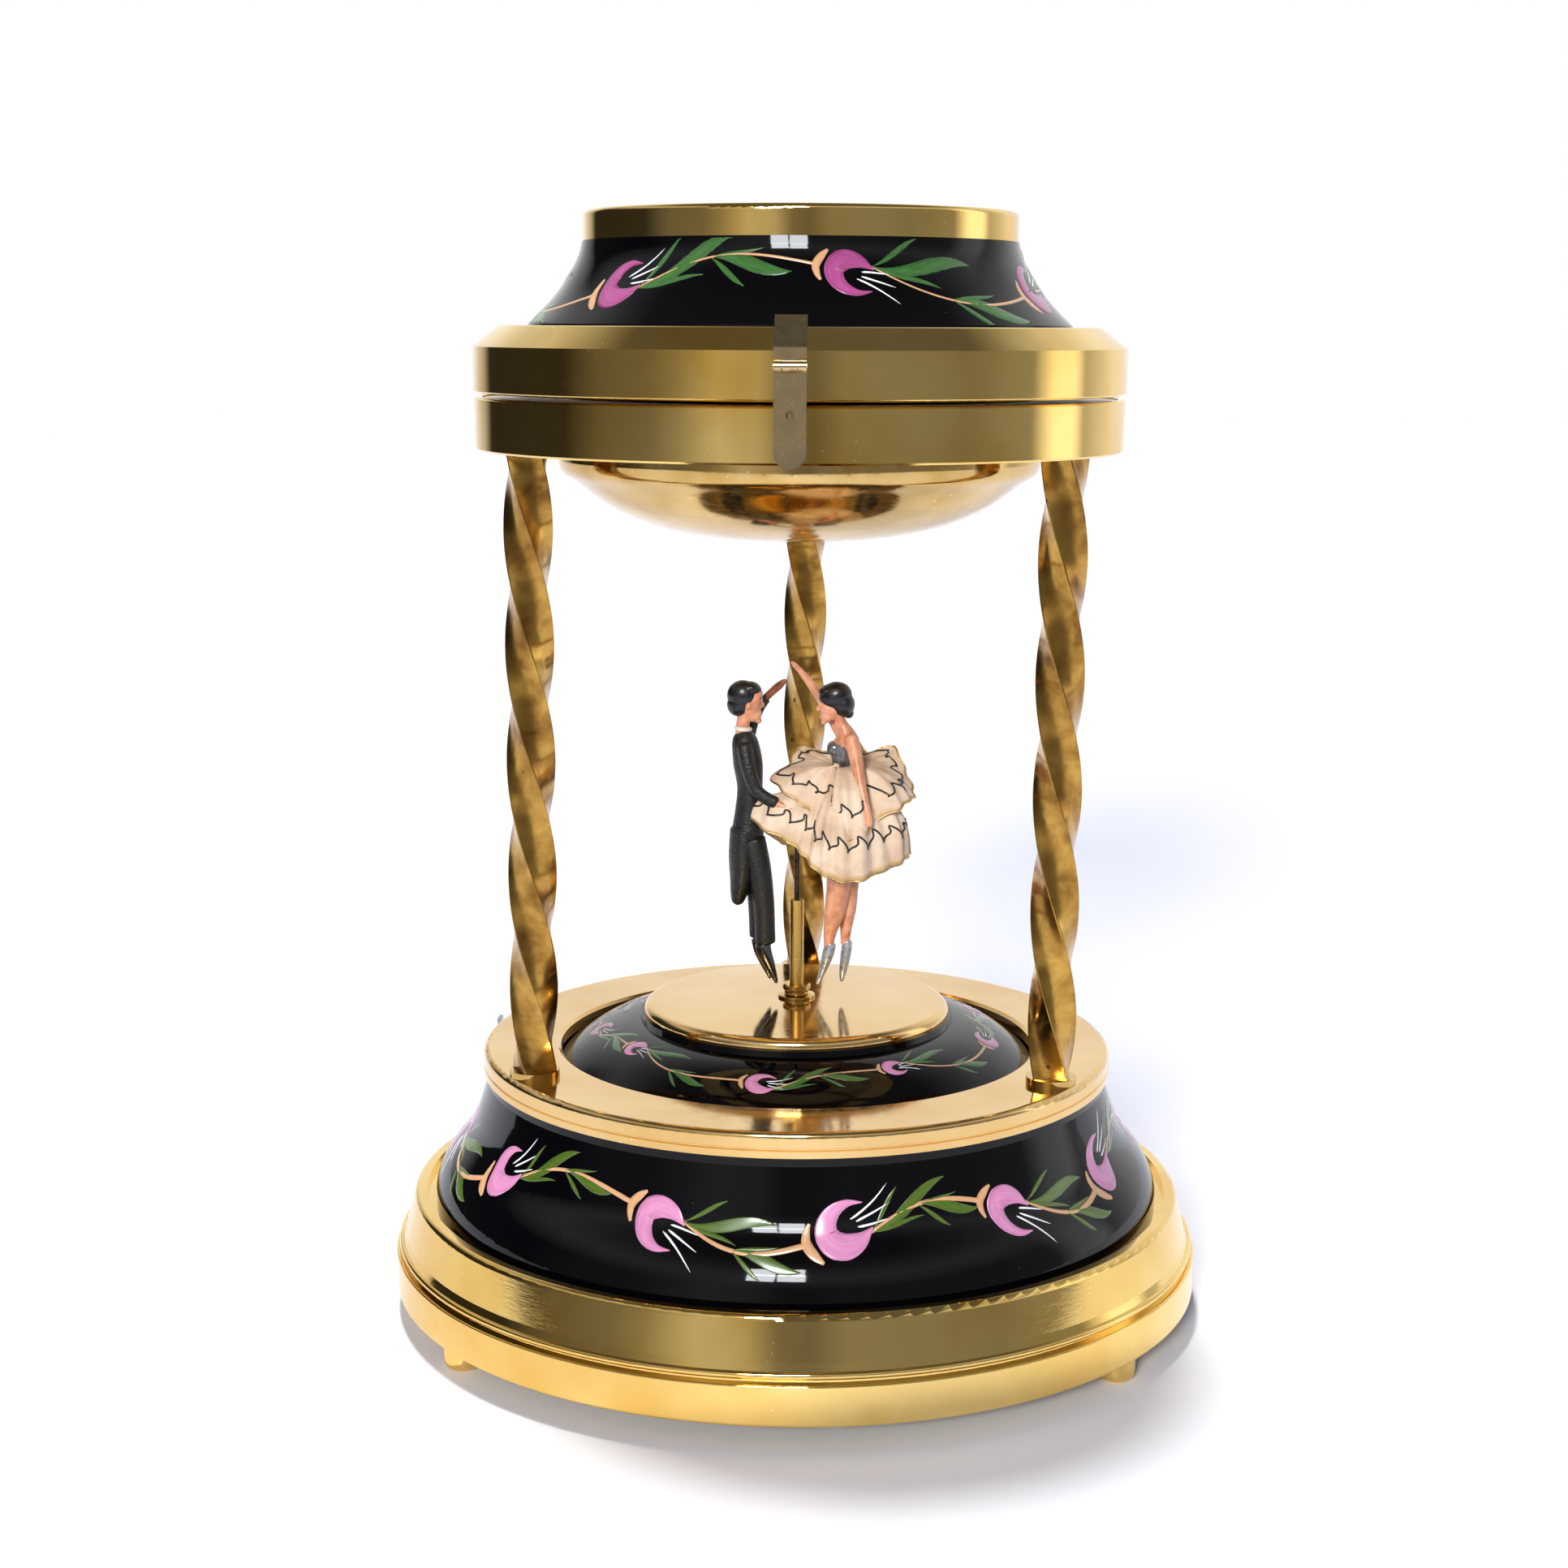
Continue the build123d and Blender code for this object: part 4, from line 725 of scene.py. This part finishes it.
def clothMaterial():
    # sized cotton, dyed shell pink: fine plain weave, chalky sheen, painted shade up in the gathers at the
    # waist, and a dull gilt hem
    look = {"cloth": "#E8D2B8", "shade": "#CFB092", "gilt": "#C9A868", "threadMm": 0.28}
    material, tree, shader, coords = newMaterial("sizedCotton", Roughness=0.75, Sheen_Weight=0.08,
                                                 Sheen_Roughness=0.4)
    uv = addNode(tree, "ShaderNodeSeparateXYZ", Vector=coords.outputs["UV"])
    stain = addNode(tree, "ShaderNodeTexNoise", {"Scale": 1000 / 5, "Detail": 4.0},
                    Vector=coords.outputs["Object"])
    tone = addRamp(tree, stain.outputs["Fac"], ((0.35, look["shade"]), (0.6, look["cloth"])))
    # painted shade: the cloth is mixed towards the shade colour near the waist, where the gathers fall into
    # shade
    deep = addRamp(tree, uv.outputs["Y"], ((0.0, 0.75), (0.35, 0.0)))      # darker up in the gathers
    shaded = addNode(tree, "ShaderNodeMixRGB", {"Color2": srgb(look["shade"])}, Fac=deep, Color1=tone)
    hem = addRamp(tree, uv.outputs["Y"], ((0.955, 0.0), (0.975, 0.7)))
    gilded = addNode(tree, "ShaderNodeMixRGB", {"Color2": srgb(look["gilt"])}, Fac=hem,
                     Color1=shaded.outputs["Color"])
    tree.links.new(gilded.outputs["Color"], shader.inputs["Base Color"])
    warp = addNode(tree, "ShaderNodeTexWave", {"Scale": 1000 / look["threadMm"] / 6.3,
                                               "bands_direction": "X"},
                   Vector=coords.outputs["Object"])
    weft = addNode(tree, "ShaderNodeTexWave", {"Scale": 1000 / look["threadMm"] / 6.3,
                                               "bands_direction": "Z"},
                   Vector=coords.outputs["Object"])
    weave = addNode(tree, "ShaderNodeMath", {"operation": "MAXIMUM"}, _0=warp.outputs["Fac"],
                    _1=weft.outputs["Fac"])
    addBump(tree, shader, weave.outputs["Value"], 0.3, 0.00005)
    return material


sizedCotton = clothMaterial()
gilt = plainMetal("giltThread", "#E6CB98", "#B99A66", 0.35, 0.5, 0.5, 0.4)

# ribs round the waist: degrees from the right, reach and hem height in mm, how far the cloth tucks in
tiers = {
    "skirtUpper": {"node": "skirt_upper", "waist": (6.9, 0.0, 81.2, 1.9), "centre": (7.0, 0.0),
        "shoulder": 0.62, "lift": 0.6, "loops": 18, "inkAt": 0.76, "inkSwing": 0.065,
        "ribs": (
            (0, 11.0, 76.6, 0), (18, 10.7, 79.4, 0.8), (38, 9.8, 83.2, -0.6),
            (60, 8.2, 82.0, 1.0), (84, 8.9, 84.4, -0.7), (110, 8.0, 82.0, 0.9),
            (134, 9.7, 82.8, -0.6), (158, 9.4, 80.4, 0.6), (180, 11.0, 79.2, -0.5),
            (203, 9.8, 77.7, 0.1), (224, 8.2, 75.2, 1.4), (241, 7.2, 72.4, 3.4),
            (257, 8.6, 71.0, 0.6), (275, 9.2, 71.2, -1.3), (294, 9.1, 72.0, -0.4),
            (311, 8.7, 73.4, 3.0), (327, 9.9, 75.0, 0.4), (343, 10.7, 76.2, -0.3),
        )},
    "skirtLower": {"node": "skirt_lower", "waist": (6.8, 0.0, 77.6, 2.3), "centre": (6.5, 0.0),
        "shoulder": 0.96, "lift": 0.0, "loops": 22, "inkAt": 0.74, "inkSwing": 0.06,
        "ribs": (
            (0, 10.9, 67.6, 0), (24, 10.4, 68.4, 0.8), (48, 9.8, 69.4, -0.5),
            (72, 9.0, 70.0, 0.8), (96, 9.2, 69.4, -0.5), (122, 9.0, 68.0, 0.9),
            (150, 10.2, 67.6, -0.2), (170, 12.2, 71.0, -0.6), (186, 13.9, 73.2, -0.6),
            (198, 13.0, 72.2, 0.3), (217, 10.6, 70.4, 1.0), (236, 9.7, 68.2, 1.5),
            (252, 10.0, 66.2, 0.3), (270, 10.0, 65.0, -0.9), (290, 10.2, 65.1, -0.5),
            (312, 10.4, 66.0, 0.7), (336, 11.0, 67.2, -0.5),
        )},
}


def ribAt(look, turn):
    # reach, hem height and tuck at any turn, smoothly joined round the hem
    ribs = look["ribs"]
    count = len(ribs)
    turn %= 360
    index = max(k for k in range(count) if ribs[k][0] <= turn)
    span = (ribs[(index + 1) % count][0] - ribs[index][0]) % 360
    t = (turn - ribs[index][0]) / span
    p = [ribs[(index + k) % count] for k in (-1, 0, 1, 2)]
    return [throughPoints(p, k, t) for k in (1, 2, 3)]


def tierPoint(look, u, v):
    # u runs round the waist, v from the waist to the hem
    angle = 2 * pi * u
    reach, hemH, tuck = ribAt(look, 360 * u)
    x0, y0, h0, r0 = look["waist"]
    start = Vector((x0 + r0 * cos(angle), y0 + r0 * sin(angle), h0))
    end = Vector((look["centre"][0] + reach * cos(angle), look["centre"][1] + reach * sin(angle), hemH))
    bend = start.lerp(end, look["shoulder"])
    bend.z = h0 + look["lift"]
    spot = start * (1 - v) ** 2 + bend * 2 * v * (1 - v) + end * v * v
    inward = tuck * sin(pi * min(1, v * 0.86 + 0.02)) ** 1.3
    pleat = 0.34 * sin(23 * angle + 2 * sin(3 * angle)) * sin(pi * v * 0.8) + 0.12 * sin(9 * angle + 4 * v)
    spot -= Vector((cos(angle), sin(angle), -0.25)) * (inward + pleat)
    return tuple(spot)


def makeTier(name, look, around=220, down=26):
    verts, faces, uvs = [], [], []
    for row in range(down + 1):
        for column in range(around):
            verts.append(at(*tierPoint(look, column / around, row / down)))
            uvs.append((column / around, row / down))
    for row in range(down):
        for column in range(around):
            a, b = row * around + column, row * around + (column + 1) % around
            faces.append((a, a + around, b + around, b))
    mesh = bpy.data.meshes.new(name)
    mesh.from_pydata([tuple(v) for v in verts], [], faces)
    layer = mesh.uv_layers.new(name="UVMap")
    for polygon in mesh.polygons:
        ends = [uvs[mesh.loops[k].vertex_index] for k in polygon.loop_indices]
        wraps = max(u for u, v in ends) > 0.9 and min(u for u, v in ends) < 0.1
        for k, (u, v) in zip(polygon.loop_indices, ends):
            layer.data[k].uv = (u + 1 if wraps and u < 0.5 else u, v)
        polygon.use_smooth = True
    mesh.materials.append(sizedCotton)
    tier = bpy.data.objects.new(name, mesh)
    bpy.context.collection.objects.link(tier)
    thick = tier.modifiers.new("Thickness", "SOLIDIFY")
    thick.thickness = 0.3 * mm
    thick.offset = -1
    applied(tier)
    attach(tier, "dancers")
    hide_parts(look["node"])
    trims(name, look)
    return tier


# what runs along the cloth: a thin cord, with or without a row of small stitches whipped over it
def cordTree(name, stitched):
    tree = bpy.data.node_groups.new(name, "GeometryNodeTree")
    face = tree.interface
    face.new_socket("Geometry", in_out="INPUT", socket_type="NodeSocketGeometry")
    for label, value in (("Cord radius", 0.00015), ("Stitch gap", 0.0009), ("Stitch size", 0.00024)):
        face.new_socket(label, in_out="INPUT", socket_type="NodeSocketFloat").default_value = value
    face.new_socket("Material", in_out="INPUT", socket_type="NodeSocketMaterial")
    face.new_socket("Geometry", in_out="OUTPUT", socket_type="NodeSocketGeometry")
    start = addNode(tree, "NodeGroupInput")
    end = addNode(tree, "NodeGroupOutput")
    profile = addNode(tree, "GeometryNodeCurvePrimitiveCircle", {"Resolution": 6},
                      Radius=start.outputs["Cord radius"])
    cord = addNode(tree, "GeometryNodeCurveToMesh", Curve=start.outputs["Geometry"],
                   Profile_Curve=profile.outputs["Curve"])
    joined = addNode(tree, "GeometryNodeJoinGeometry")
    tree.links.new(cord.outputs["Mesh"], joined.inputs["Geometry"])
    if stitched:
        spaced = addNode(tree, "GeometryNodeCurveToPoints", {"mode": "LENGTH"},
                         Curve=start.outputs["Geometry"], Length=start.outputs["Stitch gap"])
        knot = addNode(tree, "GeometryNodeMeshIcoSphere", {"Subdivisions": 1},
                       Radius=start.outputs["Stitch size"])
        stretch = addNode(tree, "FunctionNodeRandomValue", {"data_type": "FLOAT_VECTOR", "Seed": 4})
        stretch.inputs[0].default_value = (0.7, 0.7, 1.1)
        stretch.inputs[1].default_value = (1.1, 1.1, 1.9)
        stitches = addNode(tree, "GeometryNodeInstanceOnPoints", Points=spaced.outputs["Points"],
                           Instance=knot.outputs["Mesh"], Rotation=spaced.outputs["Rotation"],
                           Scale=stretch.outputs["Value"])
        tree.links.new(stitches.outputs["Instances"], joined.inputs["Geometry"])
    real = addNode(tree, "GeometryNodeRealizeInstances", Geometry=joined.outputs["Geometry"])
    painted = addNode(tree, "GeometryNodeSetMaterial", Geometry=real.outputs["Geometry"],
                      Material=start.outputs["Material"])
    tree.links.new(painted.outputs["Geometry"], end.inputs["Geometry"])
    return tree


hemCord = cordTree("hemCord", True)
inkedLine = cordTree("inkedLine", False)


def runAlong(name, points, tree, inputs):
    line = bpy.data.curves.new(name, "CURVE")
    line.dimensions = "3D"
    spline = line.splines.new("POLY")
    spline.points.add(len(points) - 1)
    for k, point in enumerate(points):
        spline.points[k].co = (*at(*point), 1)
    spline.use_cyclic_u = True
    thread = bpy.data.objects.new(name, line)
    bpy.context.collection.objects.link(thread)
    grown = thread.modifiers.new("Run", "NODES")
    grown.node_group = tree
    for item in tree.interface.items_tree:
        if item.item_type == "SOCKET" and item.in_out == "INPUT" and item.name in inputs:
            grown[item.identifier] = inputs[item.name]
    depsgraph = bpy.context.evaluated_depsgraph_get()
    mesh = bpy.data.meshes.new_from_object(thread.evaluated_get(depsgraph), depsgraph=depsgraph)
    bpy.data.objects.remove(thread)
    piece = bpy.data.objects.new(name, mesh)
    bpy.context.collection.objects.link(piece)
    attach(piece, "dancers")
    return piece


def trims(name, look, count=260):
    hem = runAlong(name + "Hem", [tierPoint(look, k / count, 1) for k in range(count)], hemCord,
                   {"Material": gilt, "Cord radius": 0.16 * mm, "Stitch gap": 0.9 * mm,
                    "Stitch size": 0.2 * mm})
    # an inked line that wanders in uneven loops a little above the hem
    wander = []
    loops = look["loops"]
    for k in range(count * 2):
        u = k / (count * 2)
        beat = 2 * pi * loops * u + 1.1 * sin(2 * pi * 3 * u)
        v = look["inkAt"] + look["inkSwing"] * (sin(beat) + 0.22 * sin(2 * beat + 0.6))
        wander.append(tierPoint(look, (u + 0.11 / loops * sin(2 * beat + 1.2)) % 1, v))
    ink = runAlong(name + "Ink", wander, inkedLine, {"Material": dancerPaint["ink"],
                                                     "Cord radius": 0.17 * mm})
    return [hem, ink]


for name, look in tiers.items():
    makeTier(name, look)
print("skirt made")

# floor and camera: distances in metres, turns in degrees
studio = {"floor": "#FDFDFE", "distance": 0.3945, "height": 0.14845, "pitch": 10.11, "azimuth": 1.5,
          "lens": 59.29, "yaw": 0.306, "roll": 0.27, "paneWatts": 1.1}


def stageFloor():
    # painted studio board: pale, matt, faintly uneven
    material, tree, shader, coords = newMaterial("studioBoard", Roughness=0.55)
    drift = addNode(tree, "ShaderNodeTexNoise", {"Scale": 3.0, "Detail": 2.0},
                    Vector=coords.outputs["Object"])
    tree.links.new(addRamp(tree, drift.outputs["Fac"], ((0.3, "#F9FAFC"), (0.7, studio["floor"]))),
                   shader.inputs["Base Color"])
    floor = newPiece("floor", [(-1.1, -0.5, 0), (1.1, -0.5, 0), (1.1, 4, 0), (-1.1, 4, 0)], [(0, 1, 2, 3)],
                     [material])


def farLight(name, place, strength, spread, tint):
    lamp = bpy.data.lights.new(name, "SUN")
    lamp.energy = strength
    lamp.angle = radians(spread)
    lamp.color = srgb(tint)[:3]
    light = bpy.data.objects.new(name, lamp)
    light.rotation_euler = (-Vector(place)).to_track_quat("-Z", "Y").to_euler()
    light.visible_glossy = False
    bpy.context.collection.objects.link(light)


def windowPanes(place, size):
    # a small window with a cross of glazing bars, only for the highlight it puts on the enamel
    for column in (-0.5, 0.5):
        for row in (-0.5, 0.5):
            spot = Vector(place) + Vector((column * size * 1.08, 0, row * size * 1.12))
            lamp = bpy.data.lights.new("pane", "AREA")
            lamp.shape = "RECTANGLE"
            lamp.size = lamp.size_y = size
            lamp.energy = studio["paneWatts"]
            lamp.color = srgb("#F6FAFF")[:3]
            pane = bpy.data.objects.new("pane", lamp)
            pane.location = spot
            pane.rotation_euler = (Vector((0, 0, 0.06)) - spot).to_track_quat("-Z", "Y").to_euler()
            pane.visible_diffuse = False
            bpy.context.collection.objects.link(pane)


def makeWorld():
    # a room round the table: dark on the left, a bright strip of window on the right, white behind
    world = bpy.data.worlds.new("studio")
    bpy.context.scene.world = world
    world.use_nodes = True
    tree = world.node_tree
    tree.nodes.clear()
    coords = addNode(tree, "ShaderNodeTexCoord")
    split = addNode(tree, "ShaderNodeSeparateXYZ", Vector=coords.outputs["Generated"])
    toFront = addNode(tree, "ShaderNodeMath", {"operation": "MULTIPLY", 1: -1.0}, _0=split.outputs["Y"])
    turn = addNode(tree, "ShaderNodeMath", {"operation": "ARCTAN2"}, _0=split.outputs["X"],
                   _1=toFront.outputs["Value"])
    share = addNode(tree, "ShaderNodeMapRange", {"From Min": -pi, "From Max": pi},
                    Value=turn.outputs["Value"])
    stops = ((-158, 1.0), (-142, 0.5), (-135, 0.03), (-86, 0.035), (-70, 0.15), (-50, 0.19), (-40, 0.3),
             (-26, 0.58), (-12, 0.5), (-3, 0.2), (6, 0.16), (16, 0.26), (44, 0.24), (60, 0.22), (88, 0.3),
             (99, 1.4), (110, 1.4), (117, 0.5), (140, 1.0))
    walls = addRamp(tree, share.outputs["Result"], [((angle + 180) / 360, level) for angle, level in stops])
    ceiling = addRamp(tree, split.outputs["Z"], ((0.4, 0.0), (0.65, 1.0)))
    overhead = addRamp(tree, split.outputs["Z"], ((0.6, 0.75), (0.82, 0.12)))
    warm = addNode(tree, "ShaderNodeMixRGB", Fac=ceiling, Color1=walls, Color2=overhead)
    room = addNode(tree, "ShaderNodeBackground", {"Strength": 1.0}, Color=warm.outputs["Color"])
    plain = addNode(tree, "ShaderNodeBackground", {"Strength": 1.0, "Color": (1, 1, 1, 1)})
    soft = addNode(tree, "ShaderNodeBackground", {"Strength": 0.3, "Color": srgb("#8FAAF2")})
    path = addNode(tree, "ShaderNodeLightPath")
    lit = addNode(tree, "ShaderNodeMixShader", _0=path.outputs["Is Diffuse Ray"],
                  _1=room.outputs["Background"], _2=soft.outputs["Background"])
    mixed = addNode(tree, "ShaderNodeMixShader", _0=path.outputs["Is Camera Ray"], _1=lit.outputs["Shader"],
                    _2=plain.outputs["Background"])
    addNode(tree, "ShaderNodeOutputWorld", Surface=mixed.outputs["Shader"])


def makeCamera():
    lens = bpy.data.cameras.new("camera")
    lens.sensor_width = 36
    lens.lens = studio["lens"]
    camera = bpy.data.objects.new("camera", lens)
    turn = radians(studio["azimuth"])
    camera.location = (studio["distance"] * sin(turn), -studio["distance"] * cos(turn),
                       studio["height"] + baseEdge * mm)
    level = turn + radians(studio["yaw"])      # yaw swings the view to the left of the axis
    pitch = radians(studio["pitch"])
    view = Vector((-sin(level) * cos(pitch), cos(level) * cos(pitch), -sin(pitch)))
    roll = Matrix.Rotation(radians(studio["roll"]), 4, "Z")
    aim = view.to_track_quat("-Z", "Y").to_matrix().to_4x4() @ roll
    camera.rotation_euler = aim.to_euler()
    bpy.context.collection.objects.link(camera)
    bpy.context.scene.camera = camera


stageFloor()
makeWorld()
# each far light: where it stands, strength, spread in degrees, tint
farLights = {"key": ((-0.22, -0.95, 0.37), 3.0, 12, "#FFFBF4"),
             "above": ((-0.08, 0.2, 1.0), 2.35, 6, "#FFFDFA")}
for name, look in farLights.items():
    farLight(name, *look)
windowPanes((-0.05, -0.62, 0.52), 0.1)
makeCamera()
bpy.context.scene.view_settings.view_transform = "Standard"
print("studio set")
